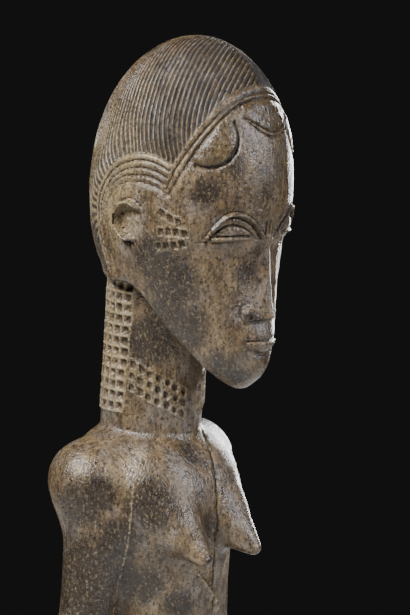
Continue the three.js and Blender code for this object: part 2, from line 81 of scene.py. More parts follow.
# the head and the trunk by height: front, back, half width, middle, and how square a level section is
head_front = curve([
    (318, -30), (322, -35.3), (325, -41), (329, -45.8), (334, -47.8), (340, -48.0), (350, -47.3),
    (363, -47.2), (370.5, -47.8), (372.6, -48.4), (374.9, -49.9), (380, -51.5), (384, -52.1),
    (389.5, -52.4), (440, -52.4),
])
head_back = curve([
    (318, 5), (350, 5), (358, 9.5), (362, 13.5), (366, 15.8), (371, 17.4), (378, 18.2),
    (389.5, 18.3), (440, 18.3),
])
head_width = curve([
    (318, 3), (322, 6.5), (325, 9.5), (329, 12.8), (335, 16.6), (345, 21.5), (355, 25),
    (365, 27.8), (377, 29.8), (389.5, 30.5), (440, 30.5),
])
head_power = curve([(318, 2), (330, 2.0), (345, 2.0), (365, 1.98), (380, 2.03), (389.5, 2.03), (440, 2)])
head_centre = curve([
    (318, -22), (330, -22), (345, -20), (360, -18), (375, -17.3), (389.5, -17.2), (440, -17.2),
])
torso_width = curve([
    (140, 16), (150, 24), (160, 28.5), (175, 29.5), (190, 26.5), (205, 22.5), (220, 19.5), (232, 19),
    (245, 19.6), (258, 22), (272, 26), (284, 29), (292, 29.5), (298, 28), (302, 25), (305, 21),
    (308, 15), (310, 10),
])
torso_front = curve([
    (140, -9), (150, -13), (160, -16.5), (175, -19.5), (190, -22.5), (205, -24), (220, -23.0),
    (235, -22.4), (250, -22.7), (262, -24.0), (275, -25.4), (285, -26.0), (292, -24.8), (298, -21.6),
    (303, -18.0), (307, -14.0), (310, -8),
])
torso_back = curve([
    (140, 12), (150, 18), (160, 23), (172, 24.5), (188, 20), (205, 13.5), (222, 11), (235, 11),
    (250, 12.8), (265, 14.6), (280, 17), (292, 20.5), (300, 21.5), (304, 20.5), (307, 17.0), (310, 9),
])
torso_power = curve([(140, 2), (200, 2), (250, 2.0), (290, 2.1), (310, 2.1)])

# the limbs, station by station: x, y, z, half size across, half size fore and aft
ARM = [
    (26.6, 4.2, 291.2, 11.3, 11.6), (27.2, 1.6, 279, 10.2, 11.9), (27.7, 0.8, 272, 9.4, 11.3),
    (28.4, 1.9, 262, 9.2, 10.2), (29.8, 3.4, 247, 8.9, 9.0), (31.8, 5.4, 226, 8.4, 8.9),
    (32.6, 6.2, 216, 8.0, 8.6),
]
FOREARM = [
    (33.4, 12.0, 216.5, 5.2, 5.0), (33.0, 8.5, 213.5, 7.6, 7.4), (31.8, 1.5, 210.6, 7.0, 7.2),
    (29.0, -8.0, 208.8, 5.8, 6.4), (24.6, -16.4, 208.9, 4.4, 5.0), (21.0, -20.6, 209.5, 3.6, 4.7),
    (17.0, -23.4, 210.3, 3.0, 6.2), (13.0, -25.0, 211.0, 2.6, 6.8), (11.4, -25.5, 211.2, 2.4, 6.4),
]
THUMB = [(18.2, -23.2, 215.4, 1.9, 1.9), (13.6, -25.0, 218.6, 1.7, 1.8), (10.6, -25.2, 220.2, 1.2, 1.3)]
FINGERS = {"count": 4, "length": 7.5, "outer": 0.86, "radius": 1.75, "tip": 0.85, "pitch": 3.25}
LEG = [
    (12.6, 1.5, 172, 13.6, 16.0), (13.8, 0, 158, 15.0, 16.8), (15.4, -3.4, 140, 13.8, 15.0),
    (16.6, -7.0, 120, 12.0, 12.8), (17.2, -9.8, 103, 10.6, 11.0), (17.3, -10.4, 94, 10.0, 10.2),
    (17.3, -6.0, 84, 9.6, 9.8), (17.3, -0.8, 72, 10.1, 11.4), (17.3, 1.4, 58, 9.0, 10.2),
    (17.3, 0.6, 42, 6.2, 6.9), (17.3, 0.6, 25, 6.6, 8.6),
]
FOOT = [
    (17.3, 5.6, 26.2, 5.6, 6.4), (17.4, 1.0, 27.2, 6.6, 7.6), (18.0, -8.0, 25.4, 7.4, 6.6),
    (18.8, -15.0, 24.0, 8.6, 4.6), (19.3, -19.0, 23.4, 8.8, 3.7),
]
TOES = {"count": 5, "radius": 2.05, "great": 1.12, "apart": 1.8, "tip_y": -24.3, "root_y": -17.0,
        "tip_z": 22.6, "root_z": 23.4}
# the forms that are joined on to the trunk: middles and radii
BREAST = [((9.5, -7, 288.5), 16.4), ((11.5, -17.8, 279.2), 10.4), ((12.7, -33.6, 268.2), 2.7)]
TRAPEZE = {"inner": (7.0, 5.0, 300.4), "inner_r": 10.0, "outer": (25.6, 5.0, 292.2), "outer_r": 12.4}
BUTTOCK = {"at": (11.5, 12.5, 168.0), "r": 14.5}
NAVEL = {"z": 203.0, "r": 3.0, "root": 2, "out": 1.0, "tip": 0.55}
NECK_R = 17.0


def blend(a, b, k):
    """Joins two distances with a soft fillet about k wide."""
    h = np.clip(0.5 + 0.5 * (b - a) / k, 0.0, 1.0)
    return b + (a - b) * h - k * h * (1.0 - h)


def carve(a, b, k):
    """Keeps what lies in both of two distances, with its edges softened about k wide."""
    return -blend(-a, -b, k)


def ease(lo, hi, t):
    """0 at lo and 1 at hi, with a soft step between them. lo may be the larger."""
    s = np.clip((t - lo) / (hi - lo), 0.0, 1.0)
    return s * s * (3.0 - 2.0 * s)


def swell(t, half):
    """1 where t is 0, falling softly to 0 where it is half or more either way."""
    s = np.clip(1.0 - (t / half) ** 2, 0.0, 1.0)
    return s * s


def cone(x, y, z, a, ra, b, rb):
    """Distance to a cone with rounded ends, of radius ra at a and rb at b."""
    a, b = np.array(a, float), np.array(b, float)
    ab = b - a
    length2 = ab @ ab
    fall = ra - rb
    slant2 = length2 - fall * fall
    px, py, pz = x - a[0], y - a[1], z - a[2]
    along = px * ab[0] + py * ab[1] + pz * ab[2]
    side2 = ((px * length2 - ab[0] * along) ** 2 + (py * length2 - ab[1] * along) ** 2
             + (pz * length2 - ab[2] * along) ** 2)
    past = along - length2
    edge = np.sign(fall) * fall * fall * side2
    flank = (np.sqrt(side2 * slant2 / length2) + along * fall) / length2 - ra
    far = np.sqrt(side2 + past * past * length2) / length2 - rb
    near = np.sqrt(side2 + along * along * length2) / length2 - ra
    out = np.where(np.sign(along) * slant2 * along * along * length2 < edge, near, flank)
    return np.where(np.sign(past) * slant2 * past * past * length2 > edge, far, out)


def smooth_stations(stations, parts=3):
    """More stations on a smooth curve through the given ones."""
    p = np.array(stations, float)
    padded = np.vstack([2 * p[0] - p[1], p, 2 * p[-1] - p[-2]])
    out = []
    for i in range(1, len(padded) - 2):
        a, b, c, d = padded[i - 1 : i + 3]
        for j in range(parts):
            t = j / parts
            out.append(0.5 * (2 * b + (c - a) * t + (2 * a - 5 * b + 4 * c - d) * t * t
                              + (3 * b - a - 3 * c + d) * t ** 3))
    return np.array(out + [p[-1]])


def limb(x, y, z, stations, parts=3):
    """Distance to a limb of oval sections square to the line through its stations."""
    s = smooth_stations(stations, parts)
    best = np.full(x.shape, 1e3)
    for a, b in zip(s[:-1], s[1:]):
        ab = b[:3] - a[:3]
        length = np.linalg.norm(ab)
        along = ab / length
        across = np.array([0.0, -1.0, 0.0]) if abs(along[0]) > 0.5 else np.array([1.0, 0.0, 0.0])
        u = across - along * (across @ along)
        u /= np.linalg.norm(u)
        v = np.cross(along, u)
        px, py, pz = x - a[0], y - a[1], z - a[2]
        raw = px * along[0] + py * along[1] + pz * along[2]
        t = np.clip(raw / length, 0, 1)
        ru = a[3] + t * (b[3] - a[3])
        rv = a[4] + t * (b[4] - a[4])
        du = px * u[0] + py * u[1] + pz * u[2]
        dv = px * v[0] + py * v[1] + pz * v[2]
        dl = raw - t * length
        q = np.sqrt((du / ru) ** 2 + (dv / rv) ** 2 + (dl / np.minimum(ru, rv)) ** 2) + 1e-9
        reach = np.sqrt(du * du + dv * dv + dl * dl)
        best = np.minimum(best, reach - reach / q)
    return best


def upright_sizes(stations):
    """An upright limb's middle and half sizes as smooth curves of height."""
    return [curve([(s[2], s[k]) for s in stations]) for k in (0, 1, 3, 4)] + [
        min(s[2] for s in stations), max(s[2] for s in stations)]


def upright(x, y, z, sizes):
    """Distance to an upright limb of oval level sections, rounded off at its ends."""
    cx, cy, rx, ry, low, high = sizes
    h = np.clip(z, low, high)
    a, b = rx(h), ry(h)
    dx, dy, dz = x - cx(h), y - cy(h), z - h
    q = np.sqrt((dx / a) ** 2 + (dy / b) ** 2 + (dz / np.minimum(a, b)) ** 2) + 1e-9
    r = np.sqrt(dx * dx + dy * dy + dz * dz)
    return r - r / q


ARM_SIZES = upright_sizes(ARM)
LEG_SIZES = upright_sizes(LEG)


def skull(x, y, z):
    """The head without its features, drawn in under the jaw and at the nape."""
    up = np.maximum(z - SKULL_Z, 0.0)
    high = TOTAL_H - SKULL_Z
    mid = head_centre(z)
    c = mid + CROWN_LEAN * up / high
    n = head_power(z)
    depth = np.where(y < c, mid - head_front(z), head_back(z) - mid)
    q = (np.abs(x / head_width(z)) ** n + np.abs((y - c) / depth) ** n) ** (2.0 / n)
    q = np.sqrt(q + (up / high) ** 2)
    r = np.sqrt(x * x + (y - c) ** 2 + up * up) + 1e-6
    body = r - r / np.maximum(q, 1e-6)
    jaw = math.sin(JAW_SLOPE) * (y - JAW_Y) - math.cos(JAW_SLOPE) * (z - JAW_Z)
    return carve(body, blend(jaw, NAPE_Z - z, 4.0), 1.2)


# the nose by height: how far it stands out, and half its width
nose_height = curve([
    (346.2, 0), (347.2, 0.2), (348.2, 3.2), (349.2, 5.0), (351.4, 4.5), (354.7, 4.0), (361, 3.4),
    (368, 3.0), (373, 2.2), (376, 0.9), (380, 0.2), (386, 0),
])
nose_half = curve([
    (344, 5.4), (349, 5.6), (352, 4.8), (358, 4.2), (366, 3.9), (374, 3.4), (380, 2.7), (386, 2.5),
])
# the wings of the nose, the cut that sets them off, and the nostrils
WING = {"x": 5.8, "z": 349.8, "r": 2.5}
WING_CUT = {"x": 5.9, "z": 350.0, "r": 2.75}
NOSTRIL = {"x": 5.7, "z": 349.2, "r": 1.0}
# the eye and its brow: one arch drawn at several sizes, wider towards the nose than towards the ear
ARCH = {"x": 14.3, "foot": 375.1, "rise": 8.5, "inner": 11.9, "outer": 6.9}
EYE = {"over_brow": 1.12, "brow": 1.0, "brow_foot": 0.93, "socket": (0.95, 0.90), "lid": (0.89, 0.84),
       "crease": 0.61, "ball": 0.58, "corner_z": 374.8}
MOUTH = {"top": 340.9, "foot": 337.3, "half": 7.1, "curl": 2.9, "out": 1.05}
TEETH = {"pitch": 1.15, "depth": 0.18}
CHIN = {"z": 343.2, "half": 11.0, "rise": 8.0, "out": 1.9}
# the ear, seen from the side, and the gap in its rim: how far its middle lies below the front and
# how far it reaches to either side, in degrees
EAR = {"y": -16.7, "z": 380.8, "half": 6.4, "rise": 6.8, "out": 2.5}
EAR_GAP = {"middle": 20, "half": 64}


def arch(ax, z):
    """1 on the brow's line, less inside it."""
    t = ax - ARCH["x"]
    side = np.where(t < 0, np.abs(t / ARCH["inner"]) ** 1.7, np.abs(t / ARCH["outer"]) ** 2.6)
    return side + (z - ARCH["foot"]) / ARCH["rise"]


def eye_slit(ax):
    """The height of the slit between the lids."""
    return 376.6 - 0.09 * np.clip(12.5 - ax, 0, 9)


def lip_foot(ax):
    """The height of the lower edge of the mouth's band, which curls up at its ends."""
    return MOUTH["foot"] + MOUTH["curl"] * (ax / MOUTH["half"]) ** 2


def face(x, z):
    """How far the features stand out of the face, seen from the front, in mm."""
    ax = np.abs(x)

    # the nose: a ridge, its wings, a hollow down each side, the nostrils and the cuts over the wings
    ridge = np.sqrt(x * x + 0.3) - 0.55
    out = nose_height(z) * np.clip(1 - np.maximum(ridge, 0) / nose_half(z), 0, 1) ** 1.1
    out += 2.0 * swell(np.hypot(ax - WING["x"], (z - WING["z"]) * 0.8), WING["r"])
    out -= 0.55 * swell(ax - 7.4, 2.8) * ease(351, 356, z) * ease(374, 370, z)
    out -= 1.4 * swell(np.hypot(ax - NOSTRIL["x"], (z - NOSTRIL["z"]) * 0.7), NOSTRIL["r"])
    cut = np.hypot(ax - WING_CUT["x"], (z - WING_CUT["z"]) * 0.8) - WING_CUT["r"]
    out -= 0.5 * swell(cut, 0.5) * ease(348, 349, z) * ease(5.2, 6.4, ax)

    # the eye: the brow, the hollow over it, the socket, the lid, its crease and the ball under it
    eye = ease(374.5, 375.4, z)
    r = arch(ax, z)
    out += 1.0 * swell(r - EYE["brow"], 0.095) * eye
    out -= 0.55 * swell(r - EYE["over_brow"], 0.07) * eye
    out -= 1.2 * ease(*EYE["socket"], r) * eye
    out += 0.75 * ease(*EYE["lid"], r) * eye
    out -= 0.8 * swell(r - EYE["crease"], 0.065) * eye
    out += 1.3 * np.sqrt(np.clip(1 - np.clip(r, 0, 2) / EYE["ball"], 0, 1)) * eye

    # the slit between the lids, the lower lid and the cut under it
    slit = eye_slit(ax)
    out -= 0.95 * swell(z - slit, 0.6) * ease(7.2, 8.8, ax) * ease(19.6, 17.8, ax)
    out += 0.45 * swell(z - slit + 1.15, 0.75) * ease(6.6, 8.4, ax) * ease(20.4, 18.6, ax)
    out -= 0.55 * swell(z - EYE["corner_z"], 0.6) * ease(3.4, 5.0, ax) * ease(22.6, 20.8, ax)

    # the mouth: a band with fine notches, a cut over it, a cut under it and a hollow below
    foot = lip_foot(ax)
    band = ease(MOUTH["top"] + 0.3, MOUTH["top"] - 0.7, z) * ease(foot - 0.4, foot + 0.8, z)
    band *= ease(MOUTH["half"] + 0.5, MOUTH["half"] - 0.6, ax)
    between = np.abs(np.cos(np.pi * x / TEETH["pitch"]))
    notch = TEETH["depth"] * ease(0.5, 0.15, between) * ease(6.6, 5.6, ax)
    out += (MOUTH["out"] - notch) * band
    out -= 0.6 * swell(z - MOUTH["top"] - 0.35, 0.55) * ease(8.2, 6.6, ax)
    out -= 0.5 * swell(z - foot + 0.3, 0.5) * ease(7.5, 6.0, ax)
    out -= 0.5 * swell(z - foot + 1.1, 1.2) * ease(7.5, 4, ax)

    # the swelling that carries the mouth
    out += CHIN["out"] * swell(np.hypot(x / CHIN["half"], (z - CHIN["z"]) / CHIN["rise"]), 1.0)
    return out


def ear_place(y, z):
    """How far out a place lies on the ear, 1 on its rim, and its turn from the front over the top."""
    e = np.hypot((y - EAR["y"]) / EAR["half"], (z - EAR["z"]) / EAR["rise"])
    return e, np.degrees(np.arctan2(z - EAR["z"], EAR["y"] - y))


def ear(y, z):
    """The ear as it stands out of the side of the head: a cup open to the front and below."""
    e, turn = ear_place(y, z)
    shut = ease(EAR_GAP["half"] - 10, EAR_GAP["half"] + 14, np.abs(turn + EAR_GAP["middle"]))
    rim = EAR["out"] * shut * ease(1.06, 0.99, e) * ease(0.74, 0.84, e)
    bowl = -1.2 * shut * ease(0.88, 0.76, e) - 1.0 * (1 - shut) * ease(1.0, 0.35, e)
    bowl -= 0.35 * shut * swell(turn - 100, 90) * ease(0.8, 0.5, e)
    tragus = 1.1 * swell(np.hypot(y - EAR["y"] + 2.6, z - EAR["z"] - 0.6), 1.8)
    return rim + bowl + tragus


def head(x, y, z):
    """The head with its face and ears."""
    d = skull(x, y, z)
    d = d - ease(-24, -33, y) * ease(320, 326, z) * face(x, z)
    side = (np.abs(x) > 22) & (np.abs(y - EAR["y"]) < 9) & (np.abs(z - EAR["z"]) < 9)
    d[side] -= ear(y[side], z[side])
    return d


def neck_y(z):
    """The middle of the neck, which leans forward as it rises."""
    return np.interp(z, [300, 365], [1.2, -4.6])


def neck(x, y, z):
    """The long round neck, a little wider at the top."""
    r = NECK_R + 0.02 * np.maximum(0, z - 335) - 0.3 * ease(320, 306, z)
    return np.maximum(np.hypot(x, y - neck_y(z)) - r, np.maximum(z - 372.0, 297.0 - z))


def torso(x, y, z):
    """The trunk with its breasts, sloping shoulders, buttocks and navel."""
    f, b = torso_front(z), torso_back(z)
    w, n = torso_width(z), torso_power(z)
    c = (f + b) / 2
    q = (np.abs(x / w) ** n + np.abs((y - c) / ((b - f) / 2)) ** n) ** (1 / n)
    r = np.hypot(x, y - c) + 1e-6
    d = np.maximum(r - r / np.maximum(q, 1e-6), np.maximum(z - 308.6, 142.0 - z))
    ax = np.abs(x)
    bust = [cone(ax, y, z, *a, *b) for a, b in zip(BREAST[:-1], BREAST[1:])]
    d = blend(d, blend(*bust, 2.5), 4)
    slope = cone(ax, y, z, TRAPEZE["inner"], TRAPEZE["inner_r"], TRAPEZE["outer"], TRAPEZE["outer_r"])
    d = blend(d, slope, 4)
    bx, by, bz = BUTTOCK["at"]
    d = blend(d, np.sqrt((ax - bx) ** 2 + (y - by) ** 2 + (z - bz) ** 2) - BUTTOCK["r"], 4)
    ny, nz = float(torso_front(NAVEL["z"])), NAVEL["z"]
    root, tip = (0, ny + NAVEL["root"], nz), (0, ny - NAVEL["out"], nz)
    return blend(d, cone(x, y, z, root, NAVEL["r"], tip, NAVEL["r"] * NAVEL["tip"]), 1.5)


def hands(x, y, z):
    """A forearm with its thumb and the fingers laid over the belly."""
    d = limb(x, y, z, FOREARM)
    d = np.minimum(d, limb(x, y, z, THUMB, 2))
    wx, wy, wz = FOREARM[-1][:3]
    for k in range(FINGERS["count"]):
        fz = wz + (k - (FINGERS["count"] - 1) / 2) * FINGERS["pitch"]
        tip = FINGERS["length"] * (1 if k in (1, 2) else FINGERS["outer"])
        r = FINGERS["radius"]
        ends = (wx + 3, wy - 0.1, fz), (wx - tip, wy - 0.1, fz)
        d = blend(d, cone(x, y, z, ends[0], r, ends[1], r * FINGERS["tip"]), 0.6)
    return d


def feet(x, y, z):
    """A foot with its toes."""
    d = limb(x, y, z, FOOT)
    for k in range(TOES["count"]):
        tx = FOOT[-1][0] + (k - 2) * TOES["radius"] * TOES["apart"]
        r = TOES["radius"] * (TOES["great"] if k == 0 else 1.0)
        tip = TOES["tip_y"] + abs(k - 1.2) * 0.9
        root, end = (tx, TOES["root_y"], TOES["root_z"]), (tx, tip + r, TOES["tip_z"])
        d = blend(d, cone(x, y, z, root, r, end, r * 0.9), 0.6)
    return d


def base(x, y, z):
    """The low base: not quite round, a little narrower at the top, with its edges worn soft."""
    wobble = 0.35 * np.sin(3 * np.arctan2(y, x) + 0.6)
    r = np.hypot(x, y) - (BASE_R - 0.5 + wobble - 0.02 * z)
    return carve(carve(r, z - BASE_H, 2.4), -z, 1.0)


def both_sides(shape, *sizes):
    """A shape that is drawn on the figure's left, on both of its sides."""
    return lambda x, y, z: shape(np.abs(x), y, z, *sizes)


# each part of the figure: its shape, the heights it spans, and the fillet that joins it on
PARTS = [
    (base, -4, 30, 0.5),
    (both_sides(upright, LEG_SIZES), 16, 196, 3.0),
    (both_sides(feet), 12, 42, 1.6),
    (torso, 134, 314, 4.0),
    (both_sides(upright, ARM_SIZES), 196, 308, 8.0),
    (both_sides(hands), 196, 228, 1.2),
    (neck, 290, 376, 2.0),
    (head, 316, 446, 1.6),
]


def figure(x, y, z):
    """The whole carving without its relief, as a distance in mm, less than 0 inside the wood."""
    d = np.full(x.shape, 60.0)
    for shape, low, high, k in PARTS:
        m = (z > low) & (z < high)
        if m.any():
            d[m] = blend(d[m], shape(x[m], y[m], z[m]), k)
    return d


# The relief cut into the figure. A place on the head is given by how far it lies round from
# the front, on a cylinder unrolled flat, and by its height, both in mm.
# The relief of the head starts at this height.
HEAD_RELIEF_Z = 358
# the two cuts that edge the strip at the hairline
HAIRLINE_TOP = [
    (-6, 421.8), (0, 421.6), (5.6, 421.2), (10.2, 419.9), (13.5, 418.4), (18, 415.6), (22.4, 411.8),
    (26.4, 407.4), (29.9, 403), (33.2, 398.3), (36.2, 391.7),
]
HAIRLINE_FOOT = [
    (-6, 419.8), (0, 419.9), (3.7, 419.8), (9, 418.8), (13.2, 417.1), (18.2, 413.6), (23.1, 408.6),
    (27.4, 403), (29.9, 399.3), (35.5, 390.2),
]
# the width of the plain margin between that strip and the combed hair
PLAIN_MARGIN = 3.5
# the hair's edge over the nape, and two far corners that close its outline over the crown
NAPE_EDGE = [(64, 359.9), (106, 359.6)]
OVER_CROWN = [(106, 460), (-6, 460)]
# the band round the ear: its radius about the ear's middle, by the turn from the front over the top
BAND = {"around": 47.0, "z": 381.0, "start": 45.6, "slant": 1.07, "end": 223.0}
BAND_INNER = curve([
    (44, 14.2), (60, 13.4), (90, 12.6), (113, 13.3), (144, 15.1), (170, 16.8), (201, 18.7), (223, 23.2),
])
BAND_OUTER = curve([
    (44, 22.9), (84, 22.1), (109, 21.6), (146, 22.1), (175, 23.4), (197, 24.7), (223, 28.9),
])
# the cuts along the band, and where its raised outer lip starts, as parts of its width
BAND_GROOVES = (0.0, 0.25, 0.5, 0.76, 1.0)
BAND_LIP = 0.76
# the round lobe on each side of the forehead, and the lobe that hangs over its middle
LOBE = {"around": 22.3, "z": 409.3, "inner": 9.6, "outer": 11.2}
FRONT_LOBE = {"middle": 3.0, "half": 12.6}
FRONT_LOBE_UPPER = curve([(0, 409.3), (2, 409.4), (5.4, 410.7), (9.5, 413.0), (12.9, 414.8)])
FRONT_LOBE_LOWER = curve([(0, 407.8), (2, 407.9), (4.5, 408.6), (7, 410.0), (9.5, 412.0), (12.9, 414.8)])
# the combed hair: the furrows' distance and depth, the parting, and how far it stands off the head
LOCK_PITCH = 1.65
LOCK_DEPTH = 0.95
PARTING_X = 4.0
HAIR_LIFT = 0.9
# behind this y the furrows turn round the back of the head, with this radius
HAIR_TURN_Y, HAIR_TURN_R = -12, 27
# how far the head is drawn in under the hair, and how much more at the crown
UNDER_HAIR = 1.15
CROWN_DROP = 0.9
# how deep the thin cuts on the head are
LINE_DEPTH = 0.6
# rows of slots on the temple: height and y of the first, slope, number
TEMPLE_ROWS = [(383.6, -29.4, 0.45, 3), (377.9, -28.4, 0.03, 4), (372.8, -27.2, -0.21, 4)]
TEMPLE_PITCH = 2.45
# rows of square scars down the nape and slanting rows round the neck. Columns are in degrees round
# the neck, from the front: where the first is, how far it drifts from row to row, and their step.
NAPE_SCARS = {"rows": 12, "top": 356.5, "pitch": 3.68, "columns": 4, "first": 84.0, "drift": 0.5,
              "step": 12.5}
NECK_ROWS = {"rows": 3, "top": 321.3, "pitch": 3.8, "columns": 7, "first": 13.5, "step": 10.1,
             "slope": 0.15, "half": 0.38}
# seen from the front, in mm: x of the long crack by height, and lines of x and z
CRACK = curve([
    (305.9, 9.3), (303.2, 7.4), (298.8, 6), (292.7, 4.1), (284.7, 2.6), (270.9, 3.3), (260.3, 4.4),
    (245.5, 5.9), (232, 6.6),
])
SHORT_CRACK = [(-24.9, 281.7), (-23.6, 277.3), (-21.7, 272.3)]
ARM_SEAM = [
    (25.9, 292.8), (26.8, 287), (27.0, 277.4), (26.3, 264.2), (25.6, 253.1), (25.1, 247.7), (24.6, 234),
]
BELLY_RIDGE = [(-3.5, 259.3), (-2.3, 258.1), (2.6, 253.4), (7.4, 248.6), (9, 246)]
KNOT = {"x": -14.2, "z": 254.3, "r": 2.4, "ring": 1.6}
# dark patches, middle and radius: where hands and oil have made the wood darker, and painted shade in
# hollows and under forms
OILED_AND_SHADED = [
    # the forehead, the cheek, the jaw and the nose, with painted shade in the hollow beside the nose
    ((-12, -44, 399), 9), ((-22, -41, 391), 8), ((-27, -24, 369), 12), ((-26, -29, 361), 15),
    ((-22, -24, 348), 12), ((-20, -30, 346), 14), ((-14, -12, 339), 13), ((-11, -40, 333), 7),
    ((-7, -43, 329), 6), ((-6, -48, 349.5), 4), ((-6, -45, 364), 6),
    # the shoulder, the arm, the breasts and the belly, with painted shade in the hollow between shoulder
    # and chest, along the arm's join to the trunk and under the near breast
    ((-4, -20, 300), 7), ((-34, -7, 290), 10), ((-36, -1, 286), 13), ((-38, 0, 262), 24),
    ((-33, -3, 248), 16), ((-26, -12, 262), 8), ((-29, -11, 274), 12), ((-22, -19, 286), 13),
    ((-4, -25, 275), 10), ((-12.7, -37, 268), 3.5), ((-13, -27, 261), 8), ((-20, -12, 258), 11),
    ((-10, -20, 250), 9), ((-12, -18, 236), 12),
    # the far side of the neck, the back, a hip and the legs
    ((28, 10, 330), 26), ((0, 22, 270), 26), ((20, -10, 190), 28), ((-20, 5, 130), 26),
    ((10, -20, 90), 22),
]
# where dust lies on the hair and round the ear, and how thick
DUSTY = [((-28, -6, 400), 26), ((-31, -12, 384), 16), ((-28, 6, 385), 16)]
DUST = 0.38
# a distance, in mm, that is too far from any cut to show
FAR = 9.0


def unrolled(x, y):
    """How far round from the front a place on the head lies, in mm."""
    return UNROLL_R * np.arctan2(np.abs(x), -(y - HEAD_AXIS_Y))


def to_line(u, v, line):
    """Distance to an open line."""
    p = np.array(line, float)
    best = np.full(u.shape, 1e3)
    for a, b in zip(p[:-1], p[1:]):
        d = b - a
        t = np.clip(((u - a[0]) * d[0] + (v - a[1]) * d[1]) / (d @ d), 0, 1)
        best = np.minimum(best, np.hypot(u - a[0] - t * d[0], v - a[1] - t * d[1]))
    return best


def inside(u, v, outline):
    """Whether a place lies within a closed outline."""
    p = np.array(outline, float)
    q = np.roll(p, -1, axis=0)
    odd = np.zeros(u.shape, bool)
    for (ax, ay), (bx, by) in zip(p, q):
        if ay == by:
            continue
        odd ^= ((ay > v) != (by > v)) & (u < (bx - ax) * (v - ay) / (by - ay) + ax)
    return odd


def grain(x, y, z, size, seed):
    """Smooth random values between -1 and 1, alike over about size mm."""
    px, py, pz = (np.asarray(c) / s + 57.0 for c, s in zip((x, y, z), np.broadcast_to(size, 3)))
    ix, iy, iz = (np.floor(p).astype(np.int64) for p in (px, py, pz))
    fx, fy, fz = px - ix, py - iy, pz - iz
    fx, fy, fz = (f * f * (3 - 2 * f) for f in (fx, fy, fz))
    out = np.zeros(px.shape)
    for dx in (0, 1):
        for dy in (0, 1):
            for dz in (0, 1):
                n = (ix + dx) * 73856093 ^ (iy + dy) * 19349663 ^ (iz + dz) * 83492791 ^ seed * 2654435761
                n = (n ^ (n >> 13)) * 1274126177 & 0x7FFFFFFF
                n = (n ^ (n >> 15)) & 0xFFFF
                w = (fx if dx else 1 - fx) * (fy if dy else 1 - fy) * (fz if dz else 1 - fz)
                out += w * (n / 32767.5 - 1)
    return out


def round_ear(a, z):
    """Turn about the ear, from the front over the top to the nape, and the distance from it."""
    u, v = BAND["around"] - a, z - BAND["z"]
    return np.degrees(np.arctan2(v, u)) % 360, np.hypot(u, v)


def band_point(turn):
    """The place of the band's inner edge at a turn about the ear."""
    r, t = float(BAND_INNER(turn)), math.radians(turn)
    return BAND["around"] - r * math.cos(t), BAND["z"] + r * math.sin(t)


HAIR_EDGE = [
    *HAIRLINE_FOOT, *map(band_point, (52, 70, 90, 110, 130, 150, 170, 190, 207, 223)), *NAPE_EDGE,
]


def within_hair(a, z):
    """How far a place lies inside the hair's edge, less than 0 outside it."""
    s = to_line(a, z, HAIR_EDGE)
    return np.where(inside(a, z, HAIR_EDGE + OVER_CROWN), s, -s)


def hair_edges(a, z):
    """How far a place lies inside the hair's edge, and inside the part of it that is combed."""
    s = within_hair(a, z)
    turn, r = round_ear(a, z)
    combed = np.minimum(to_line(a, z, HAIRLINE_FOOT) - PLAIN_MARGIN, r - BAND_OUTER(turn))
    return s, np.where(s > 0, np.minimum(combed, z - 361.0), -3.0)


def locks(x, y, z, a):
    """Where a place of the hair lies across the locks, in mm."""
    # the furrows run up the sides, turn round the back and bend forward over the forehead
    turned = HAIR_TURN_Y + HAIR_TURN_R * np.arctan2(y - HAIR_TURN_Y, np.abs(x) + 1e-3)
    p = np.where(y > HAIR_TURN_Y, turned, y) - 0.014 * np.clip(-30 - y, 0, None) ** 2

    # in front they lean in towards the parting
    from_part = np.sqrt((x - PARTING_X) ** 2 + 0.6)
    lean = from_part / (1 + from_part / 12) - 8.0
    p += 0.015 * np.clip(416 - z, 0, 14) ** 2 + lean * ease(-10, -30, y)

    # behind and over the ear they stand square on the band
    turn, r = round_ear(a, z)
    from_ear = -16.4 + 17 * np.radians(turn - 90)
    w = ease(88, 112, turn) * ease(15, 2, r - BAND_OUTER(turn))
    return p * (1 - w) + from_ear * w + 0.3 * grain(x, y, z, (9, 9, 14), 3)


def hair_relief(x, y, z, a):
    """The combed hair: lifted off the head and cut into locks by V furrows."""
    s, combed = hair_edges(a, z)
    p = locks(x, y, z, a) / LOCK_PITCH
    depth = LOCK_DEPTH * (0.85 + 0.3 * grain(x, y, z, (3, 3, 9), 5)) * ease(-0.1, 0.8, combed)
    depth *= 0.5 + 0.5 * ease(TOTAL_H, TOTAL_H - 3, z)
    furrow = np.abs(np.cos(np.pi * p)) ** 0.75 - 1
    return HAIR_LIFT * ease(-0.25, 0.35, s) + depth * furrow, p, s, combed


def band_relief(a, z):
    """The raised cords that lead round the ear, and the distance to the cuts between them."""
    turn, r = round_ear(a, z)
    low, high = BAND_INNER(turn), BAND_OUTER(turn)
    f = (r - low) / (high - low)
    on = ease(0, 2.5, turn - BAND["start"] - BAND["slant"] * (r - low))
    on *= ease(BAND["end"] + 3, BAND["end"] - 3, turn)
    on *= ease(-0.03, 0.0, f) * ease(1.03, 1.0, f)
    line = np.min([np.abs(f - g) for g in BAND_GROOVES], axis=0) * (high - low)
    out = on * (0.5 * np.sqrt(np.clip(line / 1.1, 0, 1)) - 0.3 + 0.3 * (f > BAND_LIP))
    return out, np.where(on > 0.5, line, FAR), on * ease(BAND_LIP, BAND_LIP + 0.1, f)


